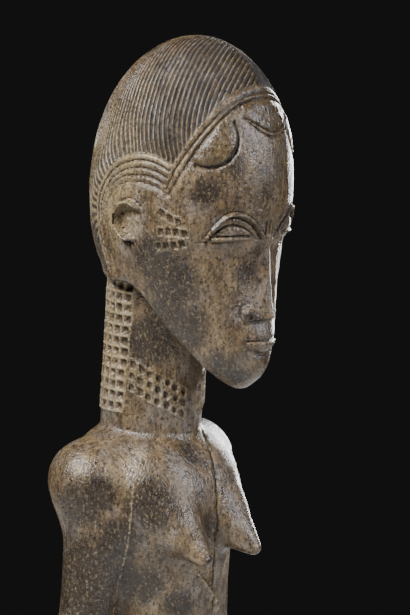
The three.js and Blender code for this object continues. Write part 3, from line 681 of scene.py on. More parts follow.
def forehead_relief(x, a, z, s):
    """The strip at the hairline, the two side lobes and the lobe over the forehead: how far they
    stand out, the distance to their cuts, and 1 where a lobe is."""
    line = np.minimum(to_line(a, z, HAIRLINE_TOP), to_line(a, z, HAIRLINE_FOOT))
    bare = ease(0.2, -0.6, s)

    # a groove round each side lobe, and the lobe itself a little raised
    u, v = LOBE["around"] - a, z - LOBE["z"]
    r, turn = np.hypot(u, v), np.degrees(np.arctan2(v, u))
    arc = ease(32, 16, turn) * ease(-124, -104, turn)
    middle = (LOBE["inner"] + LOBE["outer"]) / 2
    out = -0.55 * bare * arc * swell(r - middle, 0.95)
    edge = np.maximum(np.abs(r - middle + 0.2) - 0.35, 0.1) + 0.2 * grain(x, a, z, 2.5, 31)
    line = np.minimum(line, np.where((arc > 0.3) & (s < 0), edge, FAR))
    inner = bare * ease(LOBE["inner"] + 0.1, LOBE["inner"] - 0.9, r)
    out += 0.5 * inner

    # the lobe over the forehead, edged by a rib between two cuts
    u = np.abs(np.where(x < 0, -a, a) - FRONT_LOBE["middle"])
    upper, lower = FRONT_LOBE_UPPER(u), FRONT_LOBE_LOWER(u)
    near = ease(FRONT_LOBE["half"], FRONT_LOBE["half"] - 1.0, u)
    half = np.maximum((upper - lower) / 2, 0.1)
    out += bare * near * 0.38 * swell((z - (upper + lower) / 2) / half, 1.0)
    edge = np.minimum(np.abs(z - upper), np.abs(z - lower)) * 0.9
    line = np.minimum(line, np.where((u < FRONT_LOBE["half"]) & (s < 0), edge, FAR))
    front = bare * near * ease(0.0, 0.9, z - upper)
    return out + 0.35 * front, line, np.maximum(inner, front)


def ear_lines(x, y, z):
    """Distance to the thin cut round the ear."""
    e, turn = ear_place(y, z)
    shut = np.abs(turn + EAR_GAP["middle"]) > EAR_GAP["half"]
    rim = np.abs(e - 1.05) * EAR["half"] - 0.12
    return np.where(shut & (np.abs(x) > 20), rim, FAR)


def nearest(place, count):
    """The nearest of count things that stand at 0, 1, 2 and so on."""
    return np.clip(np.round(place), 0, count - 1)


def gouge(u, v, wide, high, sharp):
    """1 in the middle of a hollow of the given half sizes, 0 outside it. A small sharp gives it
    steep walls."""
    return ease(1, 1 - sharp, np.abs(u) / wide) * ease(1, 1 - sharp, np.abs(v) / high)


def temple_scars(y, z):
    """Rows of short slots in raised strips: how far they stand out, their pits and their crust."""
    out, pit, crust = (np.zeros(y.shape) for _ in range(3))
    for height, first, slope, count in TEMPLE_ROWS:
        u = (first - y) / TEMPLE_PITCH
        k = nearest(u, count)
        v = z - height - slope * (y - first)
        across = (u - k) * TEMPLE_PITCH + 0.12 * v
        slot = gouge(across, v + 0.3 * np.sin(5 * k + slope * 9), 1.0, 1.55, 0.4)
        block = ease(-0.9, -0.3, u) * ease(count - 0.1, count - 0.7, u) * ease(2.4, 1.4, np.abs(v))
        out += 0.35 * block - 0.9 * slot
        pit = np.maximum(pit, 0.8 * slot)
        crust = np.maximum(crust, 0.3 * block)
    return out, pit, crust


def nape_scars(turn, z):
    """Square pits in raised frames: how far they stand out, their pits and their crust."""
    row = (NAPE_SCARS["top"] - z) / NAPE_SCARS["pitch"]
    n = nearest(row, NAPE_SCARS["rows"])
    first = NAPE_SCARS["first"] + NAPE_SCARS["drift"] * n + 1.2 * np.sin(n * 1.7)
    u = (turn - first) / NAPE_SCARS["step"]
    k = nearest(u, NAPE_SCARS["columns"])
    du, dv = u - k, row - n
    shift = 0.07 * np.sin(3.1 * n + 5.3 * k)
    reach = np.hypot((du + shift) / 0.40, (dv - shift) / 0.40)
    slot = ease(1.0, 0.5, reach + 0.18 * np.sin(7 * n + 2.9 * k))
    block = ease(0.75, 0.4, np.abs(du)) * ease(0.7, 0.45, np.abs(dv))
    ledge = np.maximum(ease(0.28, 0.46, np.abs(dv)), 0.8 * ease(0.30, 0.46, np.abs(du)))
    return 0.75 * block * (0.2 + 0.8 * ledge) - 0.7 * slot, 0.66 * slot, 0.65 * block * ledge


def neck_scars(turn, z):
    """Slanting rows of pits round the neck: how far they stand out, their pits and their crust."""
    rise = NECK_ROWS["slope"] * (turn - NECK_ROWS["first"])
    row = (NECK_ROWS["top"] + rise - z) / NECK_ROWS["pitch"]
    n = nearest(row, NECK_ROWS["rows"])
    u = (turn - NECK_ROWS["first"]) / NECK_ROWS["step"]
    k = nearest(u, NECK_ROWS["columns"])
    du, dv = u - k, row - n
    shift = 0.07 * np.sin(2.7 * n + 4.3 * k)
    half = NECK_ROWS["half"]
    reach = np.cbrt(np.abs(du + shift) ** 3 / half ** 3 + np.abs(dv + shift) ** 3 / half ** 3)
    slot = ease(1.0, 0.62, reach + 0.08 * np.sin(5 * n + 3.7 * k))
    block = ease(0.70, 0.4, np.abs(du)) * ease(0.62, 0.42, np.abs(dv))
    return 0.5 * block - 0.8 * slot, 0.7 * slot, 0.3 * block


def scars(x, y, z):
    """All the raised marks on the temples, the nape and the sides of the neck."""
    out, pit, crust = (np.zeros(x.shape) for _ in range(3))
    temple = (np.abs(x) > 14) & (y < -22) & (np.abs(z - 378) < 10)
    low = (z > 308) & (z < 360) & (y > -20)
    turn = np.degrees(np.arctan2(np.abs(x[low]), -(y[low] - neck_y(z[low]))))
    found = [
        (temple, temple_scars(y[temple], z[temple])),
        (low, nape_scars(turn, z[low])),
        (low, neck_scars(turn, z[low])),
    ]
    for m, (rise, hollow, ledge) in found:
        out[m] += rise
        pit[m] = np.maximum(pit[m], hollow)
        crust[m] = np.maximum(crust[m], ledge)
    return out, pit, crust


def body_marks(x, y, z):
    """What age and use have left on the chest and arms, such as cracks, a knot and raised lines: how
    far it stands out, the distance to the short crack and the knot's ring, how far x is past the long
    crack, and a pale painted highlight along the arm's seam and the belly's ridge."""
    crack = x - CRACK(z) + 0.25 * grain(x, y, z, 2.0, 11)
    short = to_line(x, z, SHORT_CRACK)
    seam = to_line(np.abs(x), z, ARM_SEAM)
    ridge = to_line(x, z, BELLY_RIDGE)
    knot = np.hypot(x - KNOT["x"], z - KNOT["z"])
    out = 0.3 * swell(seam, 0.6) + 1.1 * swell(ridge, 1.2) + 0.5 * swell(knot, KNOT["r"])
    out -= 0.9 * ease(0.6, 0.1, np.abs(crack))
    # a pale painted highlight along the seam and the ridge
    crust = np.maximum(0.6 * swell(seam, 0.45), 0.5 * swell(ridge, 0.8))
    return out, np.minimum(short + 0.05, np.abs(knot - KNOT["ring"])), crack, crust


def face_lines(x, z):
    """Distance to the thin cuts of the eyes, nose and mouth, to the edge under the nose's tip and to the
    nose's ridge, and how far a place lies in a nostril. The finish paints all of these dark: painted shade
    in the cuts and the nostrils, a painted shadow under the nose's tip and a painted shade line down the
    ridge, where nothing is cut.
    """
    ax = np.abs(x)
    off = 3  # mm, added where a cut has ended
    slit = np.abs(z - eye_slit(ax)) + off * (1 - ease(7.6, 8.6, ax) * ease(19.4, 18.4, ax))
    below_eye = off * (z < ARCH["foot"] + 0.8)
    fold = np.abs(arch(ax, z) - EYE["brow_foot"]) * ARCH["rise"] + 0.06 + below_eye
    lid = np.abs(arch(ax, z) - EYE["crease"]) * ARCH["rise"] + 0.1 + below_eye
    mouth = np.abs(z - MOUTH["top"] - 0.3) + off * (1 - ease(7.4, 6.6, ax)) + 0.05
    under = np.abs(z - lip_foot(ax) + 0.2) + off * (1 - ease(5.0, 3.5, ax))
    # a painted shadow under the nose's tip
    tip = np.abs(z - 347.6 - 0.12 * (6 - ax)) - 0.15 + off * (1 - ease(7.0, 6.2, ax))
    wing = np.abs(np.hypot(ax - WING["x"], (z - WING["z"]) * 0.85) - 2.4) + 0.03 + off * (ax < 5.0)
    wing += off * (z < 347.4)
    # a painted shade line down the nose's ridge, where nothing is cut
    ridge = ax + 0.09 + off * (np.abs(z - 362) > 11)
    # the nostril, dark with painted shade
    nostril = swell(np.hypot(ax - NOSTRIL["x"], (z - 348.9) * 0.8), 1.5)
    return np.min([slit, fold, lid, mouth, under, tip, wing, ridge], axis=0), nostril


def patches(x, y, z, places):
    """1 in the middle of any of the places, fading to 0 at their edges."""
    out = np.zeros(x.shape)
    for at, r in places:
        reach = np.sqrt((x - at[0]) ** 2 + (y - at[1]) ** 2 + (z - at[2]) ** 2)
        out = np.maximum(out, ease(r, 0.35 * r, reach))
    return out


def brow_strokes(x, z):
    """1 in the short upright strokes between the brows."""
    on = ease(3.2, 2.8, np.abs(x)) * ease(375.8, 376.6, z) * ease(381.4, 380.4, z)
    return on * ease(0.75, 0.25, np.abs(np.cos(np.pi * x / 1.45)))


# what the wood's finish is told about each place, as it is where there is no mark: how many locks
# across, how far into the combed hair, the distance to a cut or painted shade line and to the long
# crack, and how much of a pit, a roughened lobe, a dry crust or painted highlight, or an oiled patch or
# painted shade is there
UNMARKED = {"locks": 0.0, "combed": -2.0, "line": FAR, "crack": FAR, "pit": 0.0, "rough": 0.0,
            "crust": 0.0, "oiled_and_shaded": 0.0}


def relief(x, y, z):
    """All that is cut or raised on the figure's skin, in mm, and what the wood's finish needs."""
    out = np.zeros(x.shape)
    marks = {name: np.full(x.shape, value) for name, value in UNMARKED.items()}
    m = z > HEAD_RELIEF_Z
    if m.any():
        xm, ym, zm = x[m], y[m], z[m]
        a = unrolled(xm, ym)
        hair, p, s, combed = hair_relief(xm, ym, zm, a)
        band, band_line, lip = band_relief(a, zm)
        brow, brow_line, lobes = forehead_relief(xm, a, zm, s)
        above_nape = ease(359.2, 360.2, zm)
        strokes = brow_strokes(xm, zm) * (ym < -40)
        by_ear = (np.abs(zm - EAR["z"]) < 12) & (np.abs(ym - EAR["y"]) < 12)
        ear_line = np.where(by_ear, ear_lines(xm, ym, zm), FAR)
        line = np.min([band_line, brow_line, ear_line], axis=0)
        out[m] = (hair + band + brow) * above_nape - 0.5 * strokes - LINE_DEPTH * ease(0.5, 0.05, line)
        marks["locks"][m] = p
        marks["combed"][m] = np.clip(combed, UNMARKED["combed"], 2)
        marks["line"][m] = line
        marks["pit"][m] = strokes
        marks["rough"][m] = lobes
        marks["crust"][m] = 0.45 * lip
    m = (np.abs(x) < 23) & (y < -30) & (z > 330) & (z < 386)
    if m.any():
        line, nostril = face_lines(x[m], z[m])
        marks["line"][m] = np.minimum(marks["line"][m], line)
        marks["pit"][m] = np.maximum(marks["pit"][m], nostril)
    rise, pit, crust = scars(x, y, z)
    out += rise
    marks["pit"] = np.maximum(marks["pit"], pit)
    marks["crust"] = np.maximum(marks["crust"], crust)
    m = (z > 228) & (z < 307) & (y < -3)
    if m.any():
        rise, line, crack, crust = body_marks(x[m], y[m], z[m])
        out[m] += rise
        marks["line"][m] = line
        marks["crack"][m] = crack
        # on the chest and arms the crust mark carries a painted highlight
        marks["crust"][m] = np.maximum(marks["crust"][m], crust)
    # dark patches: oiled wood, and painted shade in hollows and under forms
    marks["oiled_and_shaded"] = patches(x, y, z, OILED_AND_SHADED)
    marks["crust"] = np.maximum(marks["crust"], DUST * patches(x, y, z, DUSTY))
    return out, marks


# The skin of the figure is meshed on a grid that is fine on the head and coarser further down.
# The grid is worked through in blocks of SPAN cells a side, and only where the skin is near.
FINEST = 0.40
grid_step = curve([
    (-6, 1.7), (40, 1.5), (200, 1.5), (238, 1.3), (255, 0.72), (300, 0.62), (318, 0.46), (350, FINEST),
    (446, FINEST),
])
GRID_FOOT, GRID_TOP, GRID_HALF = -2.0, 443, 56
SPAN = 4
CORNERS = [(a, b, c) for a in (0, 1) for b in (0, 1) for c in (0, 1)]
# a cell's number is made of its three places in the grid, each below this
GRID_WIDE = 4096
NUMBER_STEPS = (GRID_WIDE * GRID_WIDE, GRID_WIDE, 1)


def grid_heights():
    """The heights of the grid's levels, as many as make whole blocks."""
    z, out = GRID_FOOT, [GRID_FOOT]
    while z < GRID_TOP:
        z += float(grid_step(z))
        out.append(z)
    while (len(out) - 1) % SPAN:
        z += FINEST
        out.append(z)
    return np.array(out)


LEVELS = grid_heights()
LEVEL_STEP = grid_step(LEVELS)


def skin_shape(x, y, z):
    """The figure without its relief, drawn in a little where the hair is laid on."""
    d = figure(x, y, z)
    m = z > HEAD_RELIEF_Z
    if m.any():
        e = within_hair(unrolled(x[m], y[m]), z[m])
        deep = UNDER_HAIR + CROWN_DROP * ease(422, TOTAL_H, z[m])
        d[m] += deep * ease(-2.5, 2.5, e) * ease(NAPE_Z, 364, z[m])
    return d


def in_batches(shape, x, y, z, size=400000):
    """A shape's distances at many places, worked out some at a time to spare memory."""
    out = np.empty(x.shape)
    for i in range(0, len(x), size):
        out[i : i + size] = shape(x[i : i + size], y[i : i + size], z[i : i + size])
    return out


def grid_place(i, j, k):
    """Where a point of the grid is, in mm. Each level is as fine across as the grid is upwards."""
    return i * LEVEL_STEP[k], j * LEVEL_STEP[k], LEVELS[k]


def blocks_near_skin():
    """The blocks of the grid that the skin may pass through, by their places in the grid."""
    blocks = []
    for layer in range((len(LEVELS) - 1) // SPAN):
        step = float(LEVEL_STEP[layer * SPAN + SPAN // 2])
        n = int(GRID_HALF / step / SPAN) + 1
        i = np.arange(-n, n)
        bi, bj = np.meshgrid(i, i, indexing="ij")
        blocks.append(np.stack([bi.ravel(), bj.ravel(), np.full(bi.size, layer)], 1))
    blocks = np.concatenate(blocks)
    x, y, z = grid_place(*(blocks.T * SPAN + SPAN // 2))
    # a block's corners lie 3.5 steps from its middle, and the rest is a margin
    near = np.abs(in_batches(skin_shape, x, y, z)) < 2.0 + 4.2 * grid_step(z)
    return blocks[near]


def sampled(blocks):
    """The distances at all grid points of the blocks, and the places of these points."""
    corner = np.arange(SPAN + 1)
    inner = np.stack([c.ravel() for c in np.meshgrid(corner, corner, corner, indexing="ij")])
    places = grid_place(*(blocks.T[:, :, None] * SPAN + inner[:, None, :]).reshape(3, -1))
    shape = (-1, SPAN + 1, SPAN + 1, SPAN + 1)
    return in_batches(skin_shape, *places).reshape(shape), [c.reshape(shape) for c in places]


def at_corner(cells, corner):
    """The index of one corner of each cell."""
    block, *place = cells
    return (block, *(c + step for c, step in zip(place, corner)))


def crossing_middles(f, places, cells):
    """For each cell, the mean of the points where the skin crosses the cell's edges."""
    total = np.zeros((len(cells[0]), 3))
    crossings = np.zeros(len(cells[0]))
    for corner in CORNERS:
        for axis in range(3):
            if corner[axis]:
                continue
            other = list(corner)
            other[axis] = 1
            start, end = at_corner(cells, corner), at_corner(cells, other)
            cross = (f[start] < 0) != (f[end] < 0)
            t = np.where(cross, f[start] / np.where(cross, f[start] - f[end], 1), 0)
            for n, c in enumerate(places):
                total[:, n] += np.where(cross, c[start] + t * (c[end] - c[start]), 0)
            crossings += cross
    return total / crossings[:, None]


def faces_round_crossings(f, cells, number):
    """A four-sided face round each grid edge that the skin crosses, turned to face outwards."""
    faces = []
    for axis in range(3):
        step = [int(n == axis) for n in range(3)]
        start, end = f[cells], f[at_corner(cells, step)]
        cross = np.nonzero((start < 0) != (end < 0))[0]
        u, v = NUMBER_STEPS[(axis + 1) % 3], NUMBER_STEPS[(axis + 2) % 3]
        around = [number[cross] - back for back in (0, u, u + v, v)]
        ring = [np.searchsorted(number, n) % len(number) for n in around]
        whole = np.all([number[r] == n for r, n in zip(ring, around)], axis=0)
        four = np.stack(ring, 1)[whole]
        leaving = (start[cross] < 0)[whole]
        faces.append(np.where(leaving[:, None], four, four[:, ::-1]))
    return np.concatenate(faces)


def skin():
    """The figure's surface: one vertex in each cell that it passes through, and its faces."""
    blocks = blocks_near_skin()
    f, places = sampled(blocks)
    wood = (f < 0).astype(int)
    count = sum(wood[:, a : a + SPAN, b : b + SPAN, c : c + SPAN] for a, b, c in CORNERS)
    cells = np.nonzero((count > 0) & (count < len(CORNERS)))
    block, *place = cells
    i, j, k = (blocks[block, n] * SPAN + place[n] for n in range(3))
    half = GRID_WIDE // 2
    number = (i + half) * NUMBER_STEPS[0] + (j + half) * NUMBER_STEPS[1] + k
    order = np.argsort(number)
    cells = tuple(c[order] for c in cells)
    return crossing_middles(f, places, cells), faces_round_crossings(f, cells, number[order])


def outward(shape, p, reach=0.12):
    """The way in which a shape's distance grows at each place, and how fast it grows."""
    n = np.empty_like(p)
    for k in range(3):
        step = np.zeros(3)
        step[k] = reach
        a, b = p + step, p - step
        n[:, k] = in_batches(shape, *a.T) - in_batches(shape, *b.T)
    length = np.linalg.norm(n, axis=1, keepdims=True)
    return n / np.maximum(length, 1e-9), length[:, 0] / (2 * reach)


# chips, worm holes and dents: how many, between which heights, from what size to what, how deep
WEAR = [
    (150, 322, 440, 0.45, 1.1, 0.45),
    (90, 240, 322, 0.5, 1.6, 0.4),
    (60, 22, 240, 0.8, 2.4, 0.6),
    (26, 240, 420, 1.8, 4.2, 0.35),
]


def wear(p, rng):
    """How deep chips, worm holes and dents are pressed into each place of the skin, in mm."""
    hollow = np.zeros(len(p))
    z = p[:, 2]
    for count, low, high, small, large, depth in WEAR:
        choice = rng.choice(np.nonzero((z > low) & (z < high))[0], count, replace=False)
        size = rng.uniform(small, large, count)
        drop = rng.uniform(0.5, 1.0, count) * depth
        for c, r, d in zip(p[choice], size, drop):
            near = np.nonzero(np.abs(z - c[2]) < r)[0]
            q = p[near] - c
            reach = np.sqrt((q * q * (1, 1, 0.7)).sum(1))
            hollow[near] = np.maximum(hollow[near], d * swell(reach, r))
    return hollow


def tool_marks(x, y, z, rough):
    """The shallow facets that the blade has left, coarser on the legs and on roughened places."""
    marks = 0.16 * grain(x, y, z, (5, 5, 9), 21) + 0.07 * grain(x, y, z, (2.2, 2.2, 4), 22)
    marks += rough * (0.22 * grain(x, y, z, 1.6, 23))
    return marks * np.interp(z, [200, 260], [1.6, 1.0])


def carved_skin():
    """The skin with its relief, its tool marks and its wear."""
    places, faces = skin()
    # two small moves bring every vertex of the skin on to the shape itself
    for _ in range(2):
        n, slope = outward(skin_shape, places)
        f = in_batches(skin_shape, *places.T)
        places = places - n * np.clip(f / np.maximum(slope, 0.4), -0.3, 0.3)[:, None]
    n, _ = outward(skin_shape, places)
    raised, found = relief(*places.T)
    raised += tool_marks(*places.T, found["rough"])
    raised -= wear(places, np.random.default_rng(41))
    places = places + n * raised[:, None]
    places[:, 2] = np.maximum(places[:, 2], 0.0)
    return places, faces


def thinned_piece(name, places, faces, most):
    """A smooth mesh piece of at most so many triangles, made from four-sided faces."""
    mesh = bpy.data.meshes.new(name)
    mesh.vertices.add(len(places))
    mesh.vertices.foreach_set("co", (places * MM).astype(np.float32).ravel())
    mesh.loops.add(faces.size)
    mesh.loops.foreach_set("vertex_index", faces.astype(np.int32).ravel())
    mesh.polygons.add(len(faces))
    mesh.polygons.foreach_set("loop_start", np.arange(len(faces), dtype=np.int32) * 4)
    mesh.update(calc_edges=True)
    mesh.validate()
    piece = bpy.data.objects.new(name, mesh)
    bpy.context.scene.collection.objects.link(piece)
    thin = piece.modifiers.new("thin", "DECIMATE")
    thin.ratio = min(1.0, most / (2 * len(faces)))
    bpy.context.view_layer.update()
    done = bpy.data.meshes.new_from_object(piece.evaluated_get(bpy.context.evaluated_depsgraph_get()))
    piece.modifiers.clear()
    piece.data = done
    done.name = name
    bpy.data.meshes.remove(mesh)
    done.polygons.foreach_set("use_smooth", np.ones(len(done.polygons), bool))
    done.update()
    return piece


def mark_piece(piece):
    """Writes the marks that the finish follows on to a piece's vertices."""
    co = np.empty(len(piece.data.vertices) * 3, np.float32)
    piece.data.vertices.foreach_get("co", co)
    _, found = relief(*(co.reshape(-1, 3).astype(float) / MM).T)
    for name, value in found.items():
        layer = piece.data.attributes.new(name, "FLOAT", "POINT")
        layer.data.foreach_set("value", value.astype(np.float32))


MOST_TRIANGLES = 194000
carved = thinned_piece("carved_figure", *carved_skin(), MOST_TRIANGLES)
mark_piece(carved)


def linear(hex_colour):
    """An sRGB colour written as hex, as linear RGBA."""
    out = []
    for i in (1, 3, 5):
        c = int(hex_colour[i : i + 2], 16) / 255
        out.append(c / 12.92 if c <= 0.04045 else ((c + 0.055) / 1.055) ** 2.4)
    return (*out, 1.0)


def add(tree, kind, links=None, values=None, **settings):
    """Adds one node, sets what is named, and links inputs to sockets of other nodes."""
    node = tree.nodes.new(kind)
    for k, v in settings.items():
        setattr(node, k, v)
    for k, v in (values or {}).items():
        node.inputs[k].default_value = v
    for k, v in (links or {}).items():
        tree.links.new(v, node.inputs[k])
    return node


# An old carving in a dense brown wood. It was cut with a blade and then oiled, handled and worn
# for a long time. The eye sees a half gloss on the high places, fine mottled grain that runs up
# the trunk, dark oiled patches with painted shade among them, ochre earth caught in the low places, a
# painted grey sheen, painted highlights on raised lines, and painted shade that makes the cuts nearly
# black.
WOOD = "#6b5942"
# The layers of the finish, from the first laid on to the last. Each has the carving's own mark
# that it follows, if any, the size of its patches in mm, how far they are drawn out up the trunk,
# how far they break up the mark's edge, where the layer starts and is full, its colour and strength.
# A mark that is a distance to a cut is full where it is small.
LAYERS = [
    (None, 17.0, 1.5, 0, 0.42, 0.64, "#877456", 0.75),
    (None, 7.0, 2.0, 0, 0.42, 0.60, "#423527", 0.75),
    # grey patches painted in as a cool sheen
    (None, 9.0, 1.6, 0, 0.50, 0.66, "#7b746f", 0.6),
    (None, 4.0, 1.4, 0, 0.52, 0.68, "#7a5f3c", 0.4),
    # dark oiled patches, and painted shade in hollows and under forms
    ("oiled_and_shaded", 4.0, 1.2, 1.2, 0.8, 1.5, "#231f1d", 0.9),
    ("rough", 2.4, 1.0, 2.4, 1.1, 2.1, "#45371f", 0.75),
    (None, 1.6, 4.0, 0, 0.48, 0.64, "#34291d", 0.6),
    (None, 2.6, 1.2, 0, 0.54, 0.66, "#2a2118", 0.55),
    (None, 1.0, 1.2, 0, 0.54, 0.63, "#1c140d", 0.8),
    (None, 0.9, 1.4, 0, 0.55, 0.70, "#9c8b70", 0.42),
    (None, 0.8, 1.0, 0, 0.65, 0.69, "#0d0906", 0.95),
    # pale crust on the scars, the band's lip and the dusty places, and a painted highlight along the arm's
    # seam and the belly's ridge
    ("crust", 0.9, 1.0, 1.6, 0.95, 1.7, "#b9a882", 0.7),
    # the pits of the scars, the brow strokes and the nostrils, dark with painted shade
    ("pit", 0.9, 1.0, 0.6, 0.55, 1.15, "#281c12", 0.85),
    # painted shade in the thin cuts and the short crack, a painted shadow under the nose's tip, a painted
    # shade line down its ridge, and the knot's dark ring
    ("line", 0.9, 1.0, 0.3, 0.44, 0.18, "#130d09", 0.88),
    # painted shade in the long crack
    ("crack", 0.9, 1.0, 0.3, 0.60, 0.30, "#0d0906", 0.95),
]
# painted shade in the furrows of the hair, and the sizes in mm of its patches and of worn places
FURROW_SHADE = "#150e08"
FURROW_SHADE_PATCH, WORN_PATCH = 3.0, 6.0
# the fine relief of the surface, in mm. Real fibres and grit are about 0.1 mm wide, too fine for the
# picture, so they are drawn coarser. FIBRE_DRAWN squeezes the pattern's height, which draws it out.
GRIT, FIBRE, FIBRE_DRAWN = 0.7, 0.9, 0.12
BUMP_DEPTH = 0.35
# oil and handling give a wax-like gloss, rougher by MATT in the cuts. Old oil bends light at 1.52.
GLOSS = {"From Min": 0.35, "From Max": 0.65, "To Min": 0.24, "To Max": 0.42}
MATT = 0.35
OIL_IOR = 1.52


def aged_wood():
    """The finish of the whole carving, laid on in layers that follow the carving's own marks."""
    mat = bpy.data.materials.new("hand_carved_aged_hardwood")
    mat.use_nodes = True
    tree = mat.node_tree
    tree.nodes.clear()
    place = add(tree, "ShaderNodeTexCoord").outputs["Object"]
    colour, cuts = None, []
    for mark, size, drawn, ragged, low, high, hue, strength in LAYERS:
        where = add(tree, "ShaderNodeMapping", {"Vector": place}, {"Scale": (1, 1, 1 / drawn)}).outputs[0]
        amount = add(tree, "ShaderNodeTexNoise", {"Vector": where},
                     {"Scale": 1 / (size * MM), "Detail": 3.0, "Roughness": 0.62}).outputs["Fac"]
        if mark:
            value = add(tree, "ShaderNodeAttribute", attribute_name=mark).outputs["Fac"]
            value = add(tree, "ShaderNodeMath", {0: value}, operation="ABSOLUTE").outputs[0]
            amount = add(tree, "ShaderNodeMath", {0: amount, 2: value}, {1: ragged},
                         operation="MULTIPLY_ADD").outputs[0]
        amount = add(tree, "ShaderNodeMapRange", {"Value": amount},
                     {"From Min": low, "From Max": high, "To Max": strength}).outputs[0]
        links = {0: amount}
        if colour:
            links[6] = colour
        colour = add(tree, "ShaderNodeMix", links, {6: linear(WOOD), 7: linear(hue)},
                     data_type="RGBA").outputs[2]
        if mark in ("pit", "line", "crack"):
            cuts.append(amount)

    # the furrows of the hair, with painted shade at the bottom of each, here more and there less
    across = add(tree, "ShaderNodeAttribute", attribute_name="locks").outputs["Fac"]
    combed = add(tree, "ShaderNodeAttribute", attribute_name="combed").outputs["Fac"]
    deep = add(tree, "ShaderNodeMath", {0: across}, {1: 0.5}, operation="PINGPONG").outputs[0]
    deep = add(tree, "ShaderNodeMapRange", {"Value": deep},
               {"From Min": 0.15, "From Max": 0.35}).outputs[0]
    within = add(tree, "ShaderNodeMapRange", {"Value": combed},
                 {"From Min": 0.0, "From Max": 0.5}).outputs[0]
    furrow = add(tree, "ShaderNodeMath", {0: deep, 1: within}, operation="MULTIPLY").outputs[0]
    furrow_shade_spread = add(tree, "ShaderNodeTexNoise", {"Vector": place},
               {"Scale": 1 / (FURROW_SHADE_PATCH * MM), "Detail": 2.0}).outputs["Fac"]
    furrow_shade_spread = add(tree, "ShaderNodeMapRange", {"Value": furrow_shade_spread},
               {"From Min": 0.3, "From Max": 0.6, "To Min": 0.62, "To Max": 0.96}).outputs[0]
    painted_furrow_shade = add(tree, "ShaderNodeMath", {0: furrow, 1: furrow_shade_spread}, operation="MULTIPLY").outputs[0]
    colour = add(tree, "ShaderNodeMix", {0: painted_furrow_shade, 6: colour}, {7: linear(FURROW_SHADE)},
                 data_type="RGBA").outputs[2]

    low_places = furrow
    for cut in cuts:
        low_places = add(tree, "ShaderNodeMath", {0: low_places, 1: cut}, operation="MAXIMUM").outputs[0]

    # oiled and handled places shine more, and the cuts are matt
    worn = add(tree, "ShaderNodeTexNoise", {"Vector": place},
               {"Scale": 1 / (WORN_PATCH * MM), "Detail": 4.0}).outputs["Fac"]
    gloss = add(tree, "ShaderNodeMapRange", {"Value": worn}, GLOSS).outputs[0]
    gloss = add(tree, "ShaderNodeMath", {0: low_places, 2: gloss}, {1: MATT},
                operation="MULTIPLY_ADD", use_clamp=True)

    # grit, and fibres that run up the trunk, with the cuts deeper than both
    grit = add(tree, "ShaderNodeTexNoise", {"Vector": place},
               {"Scale": 1 / (GRIT * MM), "Detail": 3.0}).outputs["Fac"]
    along = add(tree, "ShaderNodeMapping", {"Vector": place}, {"Scale": (1, 1, FIBRE_DRAWN)}).outputs[0]
    fibre = add(tree, "ShaderNodeTexNoise", {"Vector": along},
                {"Scale": 1 / (FIBRE * MM), "Detail": 3.0}).outputs["Fac"]
    height = add(tree, "ShaderNodeMath", {0: grit, 1: fibre}, operation="ADD").outputs[0]
    height = add(tree, "ShaderNodeMath", {0: low_places, 2: height}, {1: -1.2},
                 operation="MULTIPLY_ADD").outputs[0]
    bump = add(tree, "ShaderNodeBump", {"Height": height}, {"Strength": 0.75, "Distance": BUMP_DEPTH * MM})
    shader = add(tree, "ShaderNodeBsdfPrincipled",
                 {"Base Color": colour, "Roughness": gloss.outputs[0], "Normal": bump.outputs[0]},
                 {"IOR": OIL_IOR, "Metallic": 0.0})
    add(tree, "ShaderNodeOutputMaterial", {"Surface": shader.outputs[0]})
    return mat


carved.data.materials.append(aged_wood())
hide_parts("figure")
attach(carved, "root")

# Uncoated pale paper, rolled out flat. It gives an even, soft ground with no shine.
paper = bpy.data.materials.new("uncoated_pale_paper")
paper.use_nodes = True
paper.node_tree.nodes["Principled BSDF"].inputs["Base Color"].default_value = linear("#d8d6d2")
paper.node_tree.nodes["Principled BSDF"].inputs["Roughness"].default_value = 0.9

FLOOR_R = 0.72
bpy.ops.mesh.primitive_circle_add(vertices=96, radius=FLOOR_R, fill_type="NGON", location=(0, 0, 0))
floor = bpy.context.object
floor.name = "floor"
floor.data.materials.append(paper)


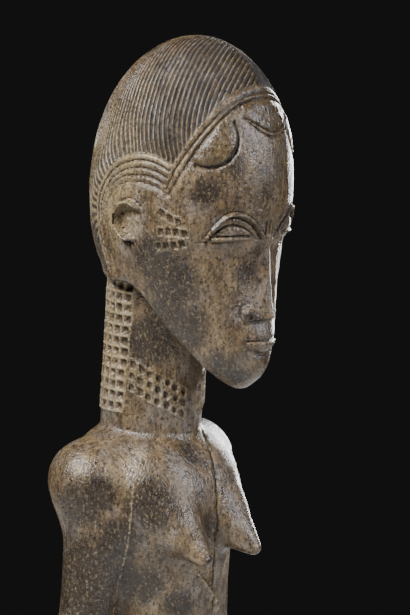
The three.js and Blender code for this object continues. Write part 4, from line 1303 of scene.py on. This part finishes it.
def way_to(azimuth, elevation):
    """The way from the figure to a viewer or lamp, in degrees round from the front and up."""
    az, el = math.radians(azimuth), math.radians(elevation)
    return Vector((math.sin(az) * math.cos(el), -math.cos(az) * math.cos(el), math.sin(el)))


def aimed(name, data, target, way, distance):
    """Puts a camera or a lamp at a distance from a target and turns it to face that."""
    thing = bpy.data.objects.new(name, data)
    thing.location = target + way * distance
    thing.rotation_mode = "QUATERNION"
    thing.rotation_quaternion = way.to_track_quat("Z", "Y")
    bpy.context.scene.collection.objects.link(thing)
    return thing


# The photograph is taken from the figure's right front, a little from above. SIGHT is the place in
# the middle of the picture and FRAME_HEIGHT is what the picture takes in there, in metres.
AZIMUTH, ELEVATION, DISTANCE = -50, 9, 1.4
SIGHT = Vector((0.00349, -0.02033, 0.34859))
FRAME_HEIGHT = 0.20295
SENSOR = 36  # mm, along the picture's longer side

lens = bpy.data.cameras.new("camera")
lens.sensor_width = SENSOR
lens.lens = SENSOR * DISTANCE / FRAME_HEIGHT
lens.clip_start, lens.clip_end = 0.05, 20
bpy.context.scene.camera = aimed("camera", lens, SIGHT, way_to(AZIMUTH, ELEVATION), DISTANCE)

LIT = Vector((0, -0.015, 0.34))


def softbox(name, azimuth, elevation, distance, size, power, colour="#ffffff"):
    """A soft studio lamp that faces the figure's chest and head."""
    data = bpy.data.lights.new(name, "AREA")
    data.shape = "RECTANGLE"
    data.size, data.size_y = size
    data.energy = power
    data.color = linear(colour)[:3]
    aimed(name, data, LIT, way_to(azimuth, elevation), distance)


# degrees round and up, distance and size in metres, and power in watts
softbox("key", -92, 46, 1.3, (0.42, 0.42), 42)
softbox("rim", 110, 4, 1.1, (0.2, 0.5), 9)
softbox("fill", 22, 20, 1.6, (0.4, 0.4), 23, "#ecf1ff")

# the studio behind is dark, as the photograph's ground is
world = bpy.data.worlds.new("studio_dark")
world.use_nodes = True
world.node_tree.nodes["Background"].inputs["Color"].default_value = linear("#161616")
world.node_tree.nodes["Background"].inputs["Strength"].default_value = 1.0
bpy.context.scene.world = world
